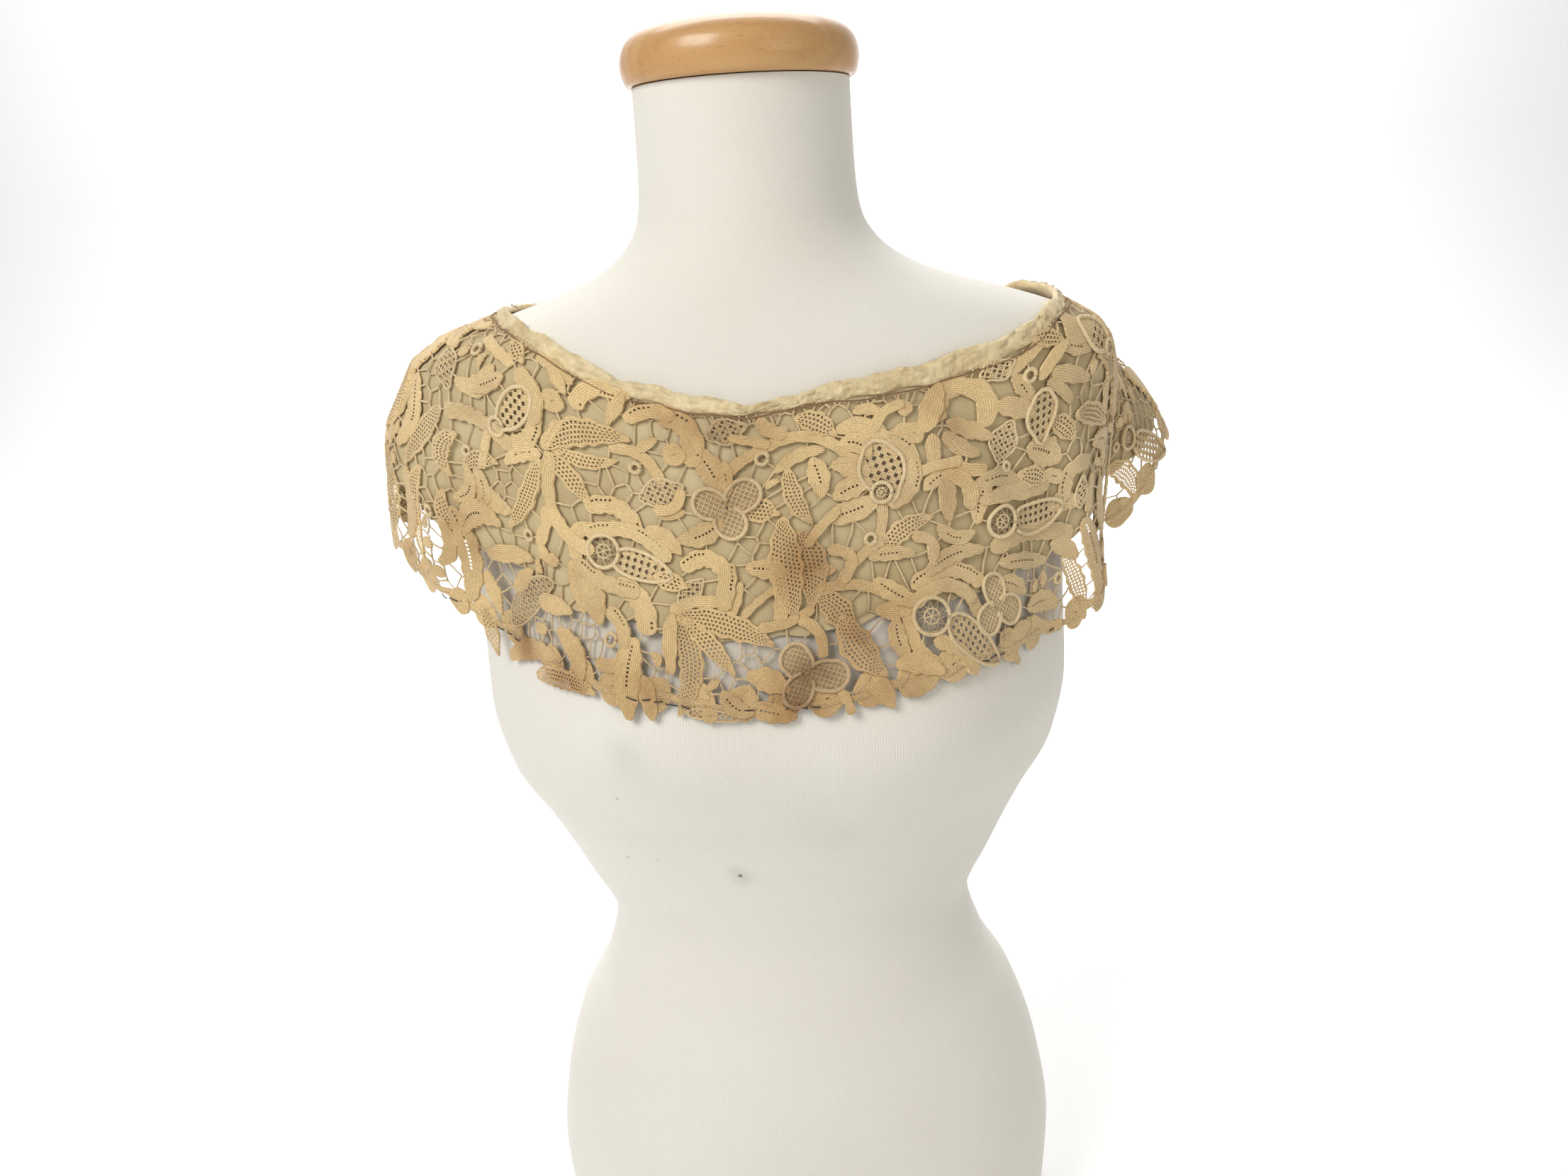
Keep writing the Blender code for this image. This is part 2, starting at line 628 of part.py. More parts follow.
class Drape:
    """The capelet's inner face: a grid of points by azimuth round the body and distance down the cloth."""

    TURNS = 720
    STEP = 3 * MM
    DEPTH = 186 * MM

    def __init__(self):
        self.azimuths = -math.pi + 2 * math.pi * np.arange(self.TURNS) / self.TURNS
        self.across = np.sin(self.azimuths)
        self.ahead = -np.cos(self.azimuths)
        self.points = self.smoothed(self.fall())
        middle = self.ring_at(CUT_MID)
        steps = np.linalg.norm(np.roll(middle, -1, 0) - middle, axis=1)
        self.reach = np.concatenate([[0], np.cumsum(steps)])
        self.total = self.reach[-1]
        self.reach_of_front = np.interp(0, self.turn_marks(), self.reach)
        self.press_creases()
        for _ in range(3):
            self.normals = self.measured_normals()
            room = clearance(*np.moveaxis(self.points, -1, 0))
            self.points = self.points + self.normals * np.maximum(CLOTH_GAP - room, 0)[..., None]

    def turn_marks(self):
        return np.append(self.azimuths, math.pi)

    def neckline(self):
        radius = ring_rows(NECK_MM, np.degrees(self.azimuths)) * MM
        x = CLOTH_CENTRE_X + radius * self.across
        y = CLOTH_CENTRE_Y + radius * self.ahead
        low = np.full(self.TURNS, 0.56)
        high = np.full(self.TURNS, 0.72)
        for _ in range(40):
            middle = (low + high) / 2
            outside = clearance(x, y, middle) > CLOTH_GAP
            high = np.where(outside, middle, high)
            low = np.where(outside, low, middle)
        for azimuth, spread, height in STAND_OFFS:
            away = turn_between(self.azimuths, math.radians(azimuth))
            high = high + height * bell(away, math.radians(spread))
        return radius, high

    def wanted_slope(self, down):
        slope = np.full(self.TURNS, HANG)
        for azimuth, spread, lift, start, ramp in FLUTES:
            away = turn_between(self.azimuths, math.radians(azimuth))
            slope -= math.radians(lift) * bell(away, math.radians(spread)) * ease((down - start) / ramp)
        return slope

    def fall(self):
        """Step down the cloth. It hangs at its own slope, but never inside the form."""
        radius, height = self.neckline()
        rows = [(radius, height)]
        slope = None
        for k in range(1, int(round(self.DEPTH / self.STEP)) + 1):
            wanted = self.wanted_slope(k * self.STEP)
            if slope is None:
                slope = wanted
            else:
                most = self.STEP / BEND_RADIUS
                slope = slope + np.clip(wanted - slope, -most, most)
            slope = self.lifted_clear(radius, height, slope)
            radius = radius + self.STEP * np.cos(slope)
            height = height - self.STEP * np.sin(slope)
            rows.append((radius, height))
        return np.array(rows)

    def lifted_clear(self, radius, height, slope):
        def room(at):
            reach = radius + self.STEP * np.cos(at)
            x = CLOTH_CENTRE_X + reach * self.across
            y = CLOTH_CENTRE_Y + reach * self.ahead
            return clearance(x, y, height - self.STEP * np.sin(at)) - CLOTH_GAP
        blocked = room(slope) < 0
        low = slope - math.radians(100)
        high = slope
        for _ in range(24):
            middle = (low + high) / 2
            free = room(middle) >= 0
            low = np.where(free, middle, low)
            high = np.where(free, high, middle)
        return np.where(blocked, low, slope)

    def smoothed(self, rows):
        """Even out the grid with a narrow weighted mean both ways, which keeps folds and drops steps."""
        radius, height = rows[:, 0], rows[:, 1]
        for _ in range(SMOOTHINGS):
            radius = (np.roll(radius, 1, 1) + 2 * radius + np.roll(radius, -1, 1)) / 4
            height = (np.roll(height, 1, 1) + 2 * height + np.roll(height, -1, 1)) / 4
        x = CLOTH_CENTRE_X + radius * self.across
        y = CLOTH_CENTRE_Y + radius * self.ahead
        return np.stack([x, y, height], -1)

    def ring_at(self, down):
        place = down / self.STEP
        low = min(int(place), len(self.points) - 2)
        share = place - low
        return self.points[low] * (1 - share) + self.points[low + 1] * share

    def measured_normals(self):
        down = np.gradient(self.points, axis=0)
        along = np.roll(self.points, -1, 1) - np.roll(self.points, 1, 1)
        normal = np.cross(along, down)
        normal /= np.linalg.norm(normal, axis=-1, keepdims=True)
        outward = np.stack([self.across, self.ahead, np.full(self.TURNS, 0.5)], -1)
        sign = np.sign(np.sum(normal * outward, -1, keepdims=True))
        return normal * sign

    def press_creases(self):
        normals = self.measured_normals()
        down = np.arange(len(self.points))[:, None] * self.STEP + np.zeros(self.TURNS)
        along = (self.reach[:-1] - self.reach_of_front)[None, :] + np.zeros(down.shape)
        ridge = np.zeros(down.shape)
        for row in CREASES_MM:
            from_along, from_down, to_along, to_down, width, height = (value * MM for value in row)
            way_along, way_down = to_along - from_along, to_down - from_down
            length = way_along ** 2 + way_down ** 2
            off_along = (along - from_along + self.total / 2) % self.total - self.total / 2
            share = np.clip((off_along * way_along + (down - from_down) * way_down) / length, 0, 1)
            gap_along = off_along - share * way_along
            gap_down = down - from_down - share * way_down
            ridge += height * bell(np.hypot(gap_along, gap_down), width)
        self.points = self.points + normals * np.maximum(ridge, 0)[..., None]
        sunk = normals * np.minimum(ridge, 0)[..., None]
        moved = self.points + sunk
        room = clearance(*np.moveaxis(moved, -1, 0)) > 2 * CLOTH_GAP
        self.points = np.where(room[..., None], moved, self.points)

    def along_of(self, azimuth):
        """Distance round the cloth from the front centre, positive towards +X."""
        return float(np.interp(azimuth, self.turn_marks(), self.reach)) - self.reach_of_front

    def azimuth_of(self, along):
        place = (np.asarray(along) + self.reach_of_front) % self.total
        return np.interp(place, self.reach, self.turn_marks())

    def at(self, along, down, lift):
        """Points on the draped cloth, moved out from its inner face by lift."""
        turn = (self.azimuth_of(along) + math.pi) / (2 * math.pi) * self.TURNS
        left = np.floor(turn).astype(int)
        share = (turn - left)[..., None]
        left, right = left % self.TURNS, (left + 1) % self.TURNS
        depth = np.clip(np.asarray(down) / self.STEP, 0, len(self.points) - 1.001)
        top = depth.astype(int)
        fall = (depth - top)[..., None]

        def blend(grid):
            upper = grid[top, left] * (1 - share) + grid[top, right] * share
            lower = grid[top + 1, left] * (1 - share) + grid[top + 1, right] * share
            return upper * (1 - fall) + lower * fall
        normal = blend(self.normals)
        normal /= np.linalg.norm(normal, axis=-1, keepdims=True)
        return blend(self.points) + normal * np.asarray(lift)[..., None]


class Panel:
    """One cut piece of the ring, laid flat about its own middle."""

    def __init__(self, drape, first, last, middle):
        self.drape = drape
        self.first = first
        self.last = last
        self.middle = middle

    def flat(self, along, down):
        """Flat place of a point on the cloth, with the panel's middle pointing along -Y."""
        turn = (np.asarray(along, float) - self.middle) / (CUT_INNER + CUT_MID)
        radius = CUT_INNER + np.asarray(down, float)
        return np.stack([radius * np.sin(turn), -radius * np.cos(turn)], -1)

    def cloth(self, flat):
        turn = np.arctan2(flat[..., 0], -flat[..., 1])
        down = np.hypot(flat[..., 0], flat[..., 1]) - CUT_INNER
        return turn * (CUT_INNER + CUT_MID) + self.middle, down

    def solid_points(self, flat, lift):
        along, down = self.cloth(flat)
        return self.drape.at(along, down, lift)

    def binding_width(self, along):
        return ring_rows(NECK_MM, np.degrees(self.drape.azimuth_of(along)), 2) * MM

    def hem(self, along):
        return ring_rows(HEM_MM, np.degrees(self.drape.azimuth_of(along))) * MM

    def under_binding(self, along):
        return float(self.binding_width(along)) + TOUCH_GAP

    def scalloped_hem(self, along):
        """Hem depth with its worked lobes, each a rounded bulge below the plain line."""
        place = along / SCALLOP_PITCH
        lobe = int(math.floor(place))
        depth = SCALLOP_DEPTHS[lobe % len(SCALLOP_DEPTHS)]
        return float(self.hem(along)) + depth * math.sqrt(abs(math.sin(math.pi * (place - lobe)))) - depth / 2

    def outline(self, top, bottom, step, bottom_step):
        """The panel's edge: down one seam, along the bottom, up the other seam and back along the top."""
        left = self.first + SEAM_GAP / 2
        right = self.last - SEAM_GAP / 2
        seams = {}
        for along in (left, right):
            high, low = top(along), bottom(along)
            count = max(2, int((low - high) / step))
            seams[along] = [(along, high + (low - high) * k / count) for k in range(count + 1)]
        count = int((right - left) / bottom_step)
        lower = [left + (right - left) * k / count for k in range(1, count)]
        count = int((right - left) / step)
        upper = [right - (right - left) * k / count for k in range(1, count)]
        edge = seams[left] + [(along, bottom(along)) for along in lower]
        return edge + seams[right][::-1] + [(along, top(along)) for along in upper]


# Lace design

def arc_points(start, end, bow, count):
    """Points on a bowed line, with the bow to the left of the way it runs."""
    start, end = np.array(start, float), np.array(end, float)
    way = end - start
    side = np.array([-way[1], way[0]]) / max(float(np.hypot(*way)), 1e-9)
    t = np.linspace(0, 1, count)[:, None]
    return start + way * t + side * bow * 4 * t * (1 - t)


def patch_discs(kind, start, end, bow, half_width):
    """A worked patch as a row of discs. Leaves taper to a point, net bodies are blunt, tapes keep their width."""
    length = float(np.hypot(end[0] - start[0], end[1] - start[1])) + 2 * abs(bow)
    if length < MM:
        return [(start[0], start[1], half_width)]
    count = max(3, int(length / (0.6 * half_width)) + 2)
    points = arc_points(start, end, bow, count)
    t = np.linspace(0, 1, count)
    low, high = TAPERS.get(kind, (0.5, 0.5))
    widths = half_width * np.sin(math.pi * (low + (high - low) * t))
    return [(x, y, w) for (x, y), w in zip(points, widths)]


def design_of(panel, rows):
    """Every worked patch of a panel as discs in its flat plane: x, y and radius."""
    discs = []
    for kind, from_along, from_down, to_along, to_down, bow, half_width in rows:
        start = panel.flat(from_along * MM + panel.middle, from_down * MM)
        end = panel.flat(to_along * MM + panel.middle, to_down * MM)
        discs += patch_discs(kind, start, end, bow * MM, half_width * MM)
    return np.array(discs)


def mirrored(rows):
    return [(kind, -a, b, -c, d, -bow, w) for kind, a, b, c, d, bow, w in rows]


def work_distance(design, points):
    """How far each flat point lies outside the nearest worked patch, negative inside."""
    points = np.asarray(points, float)
    nearest = np.full(len(points), 1.0)
    for x, y, radius in design:
        gaps = np.hypot(points[:, 0] - x, points[:, 1] - y) - radius
        nearest = np.minimum(nearest, gaps)
    return nearest


def net_sites(panel, design, allowed):
    """Middles of the bar net's meshes, dropped one by one into the open ground and kept apart."""
    shake = np.random.default_rng(NET_SEED)
    outer = CUT_INNER + 175 * MM
    grid = np.arange(-outer, outer, SITE_GRID)
    spots = np.stack(np.meshgrid(grid, grid[grid < 0.15]), -1).reshape(-1, 2)
    radius = np.hypot(spots[:, 0], spots[:, 1])
    turn = np.arctan2(spots[:, 0], -spots[:, 1])
    spots = spots[(radius > CUT_INNER) & (radius < outer) & (np.abs(turn) < 1.0)]
    spots = spots[allowed(spots)]
    room = work_distance(design, spots)
    spots, room = spots[room > SITE_ROOM], room[room > SITE_ROOM]
    order = np.argsort(-np.minimum(room, 3.5 * MM) + shake.uniform(0, 1.5 * MM, len(spots)), kind="stable")
    sites = np.empty((0, 2))
    for k in order:
        if len(sites) == 0 or np.hypot(*(sites - spots[k]).T).min() > NET_PITCH:
            sites = np.concatenate([sites, spots[k:k + 1]])
    return sites


def net_cells(sites):
    """The mesh round each site: the centres of the circles through its triangles, in order."""
    result = delaunay_2d_cdt([Vector(site) for site in sites], [], [], 0, 1e-9)
    places = np.array([(place[0], place[1]) for place in result[0]])
    around = {}
    for triangle in result[2]:
        a, b, c = places[list(triangle)]
        ab, ac = b - a, c - a
        twice = 2 * (ab[0] * ac[1] - ab[1] * ac[0])
        if abs(twice) < 1e-12:
            continue
        up = (ac[1] * ab.dot(ab) - ab[1] * ac.dot(ac)) / twice
        across = (ab[0] * ac.dot(ac) - ac[0] * ab.dot(ab)) / twice
        for k in triangle:
            around.setdefault(k, []).append(a + np.array([up, across]))
    cells = []
    for k, corners in around.items():
        site = places[k]
        corners = sorted(corners, key=lambda corner: math.atan2(corner[1] - site[1], corner[0] - site[0]))
        cells.append((site, np.array(corners)))
    return cells


def shoelace(polygon):
    x, y = polygon[:, 0], polygon[:, 1]
    return 0.5 * float(np.sum(x * np.roll(y, -1) - np.roll(x, -1) * y))


def trimmed_hole(site, cell, design, allowed):
    """A mesh opening: rays from its middle stop at the bars round it or at worked patches."""
    turns = HOLE_TURN + 2 * math.pi * np.arange(HOLE_RAYS) / HOLE_RAYS
    reach = np.full(HOLE_RAYS, NET_PITCH * 1.1)
    for start, end in zip(cell, np.roll(cell, -1, 0)):
        along = end - start
        length = float(np.hypot(*along))
        if length < 1e-6:
            continue
        normal = np.array([along[1], -along[0]]) / length
        away = float(normal.dot(start - site))
        if away < 0:
            normal, away = -normal, -away
        facing = np.cos(turns) * normal[0] + np.sin(turns) * normal[1]
        bar = (away - BRIDE_HALF) / np.maximum(facing, 1e-6)
        reach = np.where(facing > 0.05, np.minimum(reach, bar), reach)
    reach = np.maximum(reach, 0.4 * MM)
    shares = np.linspace(0.1, 1, 12)
    ways = np.stack([np.cos(turns), np.sin(turns)], -1)
    tries = site + ways[:, None, :] * (reach[:, None] * shares[None, :])[..., None]
    flat = tries.reshape(-1, 2)
    good = ((work_distance(design, flat) > PATCH_RIM) & allowed(flat)).reshape(HOLE_RAYS, -1)
    corners = []
    for ray in range(HOLE_RAYS):
        stop = len(shares) if good[ray].all() else int(np.argmin(good[ray]))
        if stop == 0:
            return None
        corners.append(tries[ray, stop - 1])
    return simplified(corners)


def simplified(corners):
    """Drop corners that turn least until the outline has no more than it is allowed, and no short sides."""
    corners = list(corners)
    while len(corners) > 3:
        losses = []
        for k, corner in enumerate(corners):
            a, b = corners[k - 1], corners[(k + 1) % len(corners)]
            losses.append(abs((corner - a)[0] * (b - a)[1] - (corner - a)[1] * (b - a)[0]) / 2)
        least = int(np.argmin(losses))
        if len(corners) <= HOLE_CORNERS and losses[least] > 1.2 * MM ** 2:
            break
        corners.pop(least)
    polygon = np.array(corners)
    sides = np.hypot(*(polygon - np.roll(polygon, 1, 0)).T)
    if sides.min() < 1.2 * MM or shoelace(polygon) < 0.6 * HOLE_LEAST ** 2:
        return None
    return polygon


def panel_holes(panel, rows):
    design = design_of(panel, rows)

    def allowed(points):
        along, down = panel.cloth(points)
        within = (along > panel.first + 3 * MM) & (along < panel.last - 3 * MM)
        within &= down < panel.hem(along) - 6 * MM
        return within & (down > panel.binding_width(along) + 3 * MM)
    holes = []
    for site, cell in net_cells(net_sites(panel, design, allowed)):
        hole = trimmed_hole(site, cell, design, allowed)
        if hole is not None:
            holes.append(hole)
    return design, holes


# Cloth solids

def fill_points(panel, outline, holes, step):
    """Places inside the outline, clear of its edges and of the holes: wide apart, but closer where it bends."""
    polygon = panel.flat(*np.array(outline).T)
    edges = np.concatenate([polygon] + list(holes))
    fine = step / 2
    outer = float(np.hypot(polygon[:, 0], polygon[:, 1]).max())
    spots, coarse = [], []
    for j in range(int(2 * outer / (fine * 0.866))):
        for i in range(int(2 * outer / fine)):
            spots.append((-outer + (i + 0.5 * (j % 2)) * fine, -outer + j * fine * 0.866))
            coarse.append(j % 2 == 0 and (i + j // 2) % 2 == 0)
    spots, coarse = np.array(spots), np.array(coarse)
    keep = inside(polygon, spots)
    spots, coarse = spots[keep], coarse[keep]
    keep = coarse | (bend_at(panel, spots, fine) > BEND_ALLOWED)
    spots, coarse = spots[keep], coarse[keep]
    away = np.array([np.hypot(*(edges - spot).T).min() for spot in spots])
    spots = spots[away > 0.5 * fine]
    for hole in holes:
        spots = spots[~inside(hole, spots)]
    return spots


def bend_at(panel, flat, reach):
    """How far the cloth stands from a straight line between two places either side of each point."""
    lift = np.zeros(len(flat))
    here = panel.solid_points(flat, lift)
    worst = lift
    for turn in (0, math.pi / 3, 2 * math.pi / 3):
        way = reach * np.array([math.cos(turn), math.sin(turn)])
        between = (panel.solid_points(flat + way, lift) + panel.solid_points(flat - way, lift)) / 2
        worst = np.maximum(worst, np.linalg.norm(here - between, axis=1))
    return worst


def inside(polygon, points):
    x, y = points[:, 0], points[:, 1]
    within = np.zeros(len(points), bool)
    previous = polygon[-1]
    for corner in polygon:
        crosses = (corner[1] > y) != (previous[1] > y)
        rise = previous[1] - corner[1]
        rise = rise if abs(rise) > 1e-15 else 1e-15
        at = (previous[0] - corner[0]) * (y - corner[1]) / rise + corner[0]
        within ^= crosses & (x < at)
        previous = corner
    return within


def triangulated(panel, outline, holes, step):
    polygon = panel.flat(*np.array(outline).T)
    points, faces = [], []
    for loop in [polygon] + list(holes):
        faces.append(list(range(len(points), len(points) + len(loop))))
        points += [Vector(point) for point in loop]
    points += [Vector(point) for point in fill_points(panel, outline, holes, step)]
    result = delaunay_2d_cdt(points, [], faces, 0, 1e-7)
    places = np.array([(place[0], place[1]) for place in result[0]])
    kept = [tuple(triangle) for triangle, owners in zip(result[2], result[5]) if list(owners) == [0]]
    return places, kept


def wall(name, panel, places, triangles, inner, outer, finish):
    """A closed sheet: the flat mesh laid on the drape at two lifts, joined along every edge."""
    used = sorted({k for triangle in triangles for k in triangle})
    number = {k: n for n, k in enumerate(used)}
    flat = places[used]
    low = panel.solid_points(flat, np.full(len(used), inner))
    high = panel.solid_points(flat, np.broadcast_to(outer, (len(used),)))
    mesh = bmesh.new()
    under = [mesh.verts.new(point) for point in low]
    over = [mesh.verts.new(point) for point in high]
    sides = {}
    for triangle in triangles:
        a, b, c = (number[k] for k in triangle)
        mesh.faces.new((over[a], over[b], over[c]))
        mesh.faces.new((under[c], under[b], under[a]))
        for p, q in ((a, b), (b, c), (c, a)):
            if (q, p) in sides:
                del sides[(q, p)]
            else:
                sides[(p, q)] = True
    for p, q in sides:
        mesh.faces.new((over[q], over[p], under[p], under[q]))
    bmesh.ops.triangulate(mesh, faces=mesh.faces)
    bmesh.ops.recalc_face_normals(mesh, faces=mesh.faces)
    if mesh.calc_volume(signed=True) < 0:
        bmesh.ops.reverse_faces(mesh, faces=mesh.faces)
    return finished(name, mesh, finish)


def build_lining(name, panel, finish):
    outline = panel.outline(panel.under_binding, lambda along: LINING_DEPTH, EDGE_STEP, EDGE_STEP)
    places, triangles = triangulated(panel, outline, [], LINING_STEP)
    wall(name, panel, places, triangles, LINING_INNER, LINING_OUTER, finish)


def build_lace(name, panel, holes, design, finish):
    outline = panel.outline(panel.under_binding, panel.scalloped_hem, EDGE_STEP, SCALLOP_PITCH / 4)
    places, triangles = triangulated(panel, outline, holes, LACE_STEP)
    used = sorted({k for triangle in triangles for k in triangle})
    depth = np.clip(-work_distance(design, places[used]) / (2.5 * MM), 0, 1)
    return wall(name, panel, places, triangles, LACE_INNER, LACE_OUTER + RAISED_WORK * depth, finish)


def build_binding(name, panel, finish):
    """The rolled neck binding: one bent tube of flattened section along the panel's top edge."""
    first = panel.first + SEAM_GAP / 2
    last = panel.last - SEAM_GAP / 2
    shares = np.array([row[0] for row in BINDING_SECTION])
    lifts = np.array([row[1] for row in BINDING_SECTION])
    rings = []
    for k in range(BINDING_STATIONS):
        along = first + (last - first) * k / (BINDING_STATIONS - 1)
        width = float(panel.binding_width(along))
        rings.append([tuple(point) for point in panel.drape.at(np.full(len(shares), along), shares * width, lifts)])
    lofted(name, rings, finish)


def build_capelet():
    drape = Drape()
    half = drape.total / 2
    right = drape.along_of(SEAM_RIGHT)
    left = drape.along_of(SEAM_LEFT)
    panels = {
        "front": Panel(drape, left, right, 0.0),
        "back": Panel(drape, right, left + drape.total, half),
    }
    work = {"front": list(FRONT_WORK), "back": mirrored(FRONT_WORK) + list(WING_WORK)}
    lace = material("needle_lace", LACE)
    gauze = material("lining_gauze", GAUZE)
    rolled = material("binding_gauze", BINDING)
    cut = {}
    for side, panel in panels.items():
        build_binding("binding_" + side, panel, rolled)
        build_lining("lining_" + side, panel, gauze)
        cut[side] = panel_holes(panel, work[side])
    sizes = sorted((shoelace(hole) for _, holes in cut.values() for hole in holes), reverse=True)
    least = sizes[min(HOLES_ALLOWED, len(sizes)) - 1]
    for side, panel in panels.items():
        design, holes = cut[side]
        largest = [hole for hole in holes if shoelace(hole) >= least]
        build_lace("lace_" + side, panel, largest, design, lace)


clear_scene()
build_form()
build_cap()
build_capelet()
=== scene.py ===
"""The looks of a needle-lace capelet on a padded dress form.

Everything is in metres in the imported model's own frame. The cloth is laid out flat first, as it was cut and
worked, and then laid on the same drape that the solids were made from.
"""
import math

import bmesh
import bpy
import numpy as np
from mathutils import Matrix, Vector
from mathutils.geometry import delaunay_2d_cdt


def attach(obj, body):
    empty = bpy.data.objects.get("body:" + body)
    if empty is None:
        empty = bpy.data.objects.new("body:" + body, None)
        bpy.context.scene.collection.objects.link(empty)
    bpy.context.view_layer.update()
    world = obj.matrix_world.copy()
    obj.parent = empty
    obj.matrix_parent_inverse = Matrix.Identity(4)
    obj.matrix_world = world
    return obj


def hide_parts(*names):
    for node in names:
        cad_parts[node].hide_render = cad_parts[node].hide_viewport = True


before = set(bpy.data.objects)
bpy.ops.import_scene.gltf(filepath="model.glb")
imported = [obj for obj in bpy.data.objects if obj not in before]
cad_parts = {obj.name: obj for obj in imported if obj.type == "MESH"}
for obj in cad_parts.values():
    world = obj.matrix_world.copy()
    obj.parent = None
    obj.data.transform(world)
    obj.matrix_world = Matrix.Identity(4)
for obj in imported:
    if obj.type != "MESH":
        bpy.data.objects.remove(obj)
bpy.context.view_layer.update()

MM = 0.001
FULL_TURN = 2 * math.pi

# Dress form, a padded torso: height, half width, front depth and back depth, in millimetres
FORM_MM = (
    (0, 158, 102, 116),
    (45, 164, 105, 123),
    (95, 166.5, 106, 127),
    (150, 159, 103, 121),
    (205, 142, 95, 103),
    (240, 123, 89, 88),
    (277, 113.5, 86, 78),
    (317, 130, 91, 78),
    (357, 149, 103, 83),
    (390, 166, 117, 89),
    (430, 172.5, 127, 97),
    (485, 171, 116, 104),
    (535, 174, 100, 106),
    (580, 185, 87, 102),
    (606, 193, 78.5, 96),
    (622, 190, 73.5, 90),
    (634, 174, 70, 85),
    (643, 151, 67, 79),
    (650, 128, 65, 74.5),
    (657, 105, 63.5, 70),
    (668, 81, 61.5, 65),
    (679, 68, 59.5, 61.5),
    (691, 61, 58, 59),
    (706, 58.5, 57, 58),
    (730, 57.5, 56, 56.5),
    (758, 57, 56, 56),
)
FORM_TOP = 758 * MM
BUST_HEIGHT = 437 * MM
BUST_AZIMUTH = math.radians(33)
BUST_LIFT = 10 * MM
BUST_TALL = 52 * MM
BUST_WIDE = math.radians(21)
# Pitch of the jersey's ribs and of its courses, in millimetres
RIB_PITCH = 1.15
COURSE_PITCH = 0.95

# Marks on the form's cover, on the photographed side: place across, height, reach and strength
COVER_MARKS = (
    (-0.0275, 0.3445, 0.0011, 0.95),
    (-0.026, 0.343, 0.006, 0.16),
    (-0.031, 0.349, 0.004, 0.10),
    (-0.0885, 0.404, 0.0008, 0.5),
    (-0.0735, 0.3525, 0.0007, 0.35),
    (-0.0915, 0.3495, 0.0010, 0.4),
    (0.012, 0.388, 0.016, 0.05),
    (0.030, 0.372, 0.012, 0.05),
    (-0.080, 0.436, 0.010, 0.09),
    (-0.078, 0.424, 0.014, 0.06),
)

# Turned wooden cap on the neck: radius and height along its profile, in millimetres
TOUCH_GAP = 0.3 * MM
CAP_PROFILE = (
    (0, 0.1),
    (57.5, 0.1),
    (59.6, 0.7),
    (60.6, 2.2),
    (61.6, 5),
    (62.4, 9),
    (62.3, 13),
    (61.2, 17.5),
    (58.8, 21.3),
    (55, 24.4),
    (48, 27.2),
    (38, 29.2),
    (24, 30.4),
    (10, 30.9),
    (0, 31),
)
GRAIN_TILT = (0.1, 0.12, 0.25)

# Neckline, seen from above round the capelet's own centre: azimuth in degrees, then radius and binding width
# in millimetres
CLOTH_CENTRE_X = 14 * MM
CLOTH_CENTRE_Y = 3 * MM
NECK_MM = (
    (-180, 88, 10),
    (-150, 96, 10),
    (-120, 123, 10),
    (-92, 149, 9),
    (-76, 143, 9.5),
    (-65, 132.5, 9.5),
    (-56, 120.5, 9.5),
    (-41, 101.5, 9.5),
    (-28, 91.5, 8.5),
    (-12, 85, 7),
    (8, 81.6, 8),
    (30, 88.2, 11.5),
    (43, 98, 12),
    (56, 114, 12),
    (66, 131, 11),
    (76, 142, 10),
    (92, 151, 10),
    (120, 125, 10),
    (150, 97, 10),
)
# The neck edge rests on the form somewhere between these heights
NECK_LOWEST = 0.56
NECK_HIGHEST = 0.72
# Where the neck edge stands off the form: azimuth and spread in degrees, and height
STAND_OFFS = ((102, 15, 8 * MM), (-95, 14, 3 * MM))

# Fall of the cloth: how far each flute is lifted out of the plain hang, or tucked in.
# Azimuth, spread and lift in degrees, how far down it starts, and the length over which it grows
HANG = math.radians(85)
BEND_RADIUS = 26 * MM
CLOTH_GAP = 1.0 * MM
SMOOTHINGS = 24
FLUTES = (
    (-86, 20, 26, 45 * MM, 15 * MM),
    (-86, 20, -26, 88 * MM, 30 * MM),
    (-116, 9, -6, 60 * MM, 50 * MM),
    (-138, 10, 14, 50 * MM, 50 * MM),
    (-160, 10, -3, 70 * MM, 50 * MM),
    (178, 12, 8, 70 * MM, 50 * MM),
    (155, 9, -4, 70 * MM, 50 * MM),
    (107, 14, 51, -30 * MM, 20 * MM),
    (107, 13, -20, 65 * MM, 60 * MM),
    (133, 9, 12, 40 * MM, 40 * MM),
    (86, 6, -18, 45 * MM, 30 * MM),
    (77, 8, 2, 40 * MM, 50 * MM),
)
# Creases: soft ridges and troughs pressed into the draped cloth, from one place on it to another.
# From along and down, to along and down, width and height, in millimetres
CREASES_MM = (
    (88, 36, 108, 64, 10, 3.4),
    (108, 62, 118, 118, 11, 3.0),
    (128, 30, 134, 70, 10, 1.6),
    (-150, 20, -120, 150, 12, 2.0),
    (10, 60, 14, 165, 13, 1.6),
    (-70, 90, -82, 165, 12, 1.8),
    (60, 100, 70, 165, 12, 1.8),
    (170, 60, 176, 165, 10, 3.0),
    (-212, 60, -206, 165, 10, 3.0),
    (-238, 80, -236, 165, 8, -2.0),
    (420, 60, 428, 160, 14, 2.4),
    (500, 50, 492, 160, 13, 2.0),
    (590, 60, 600, 160, 14, 2.2),
    (680, 60, 672, 160, 13, 2.4),
    (770, 60, 780, 160, 12, 2.4),
)

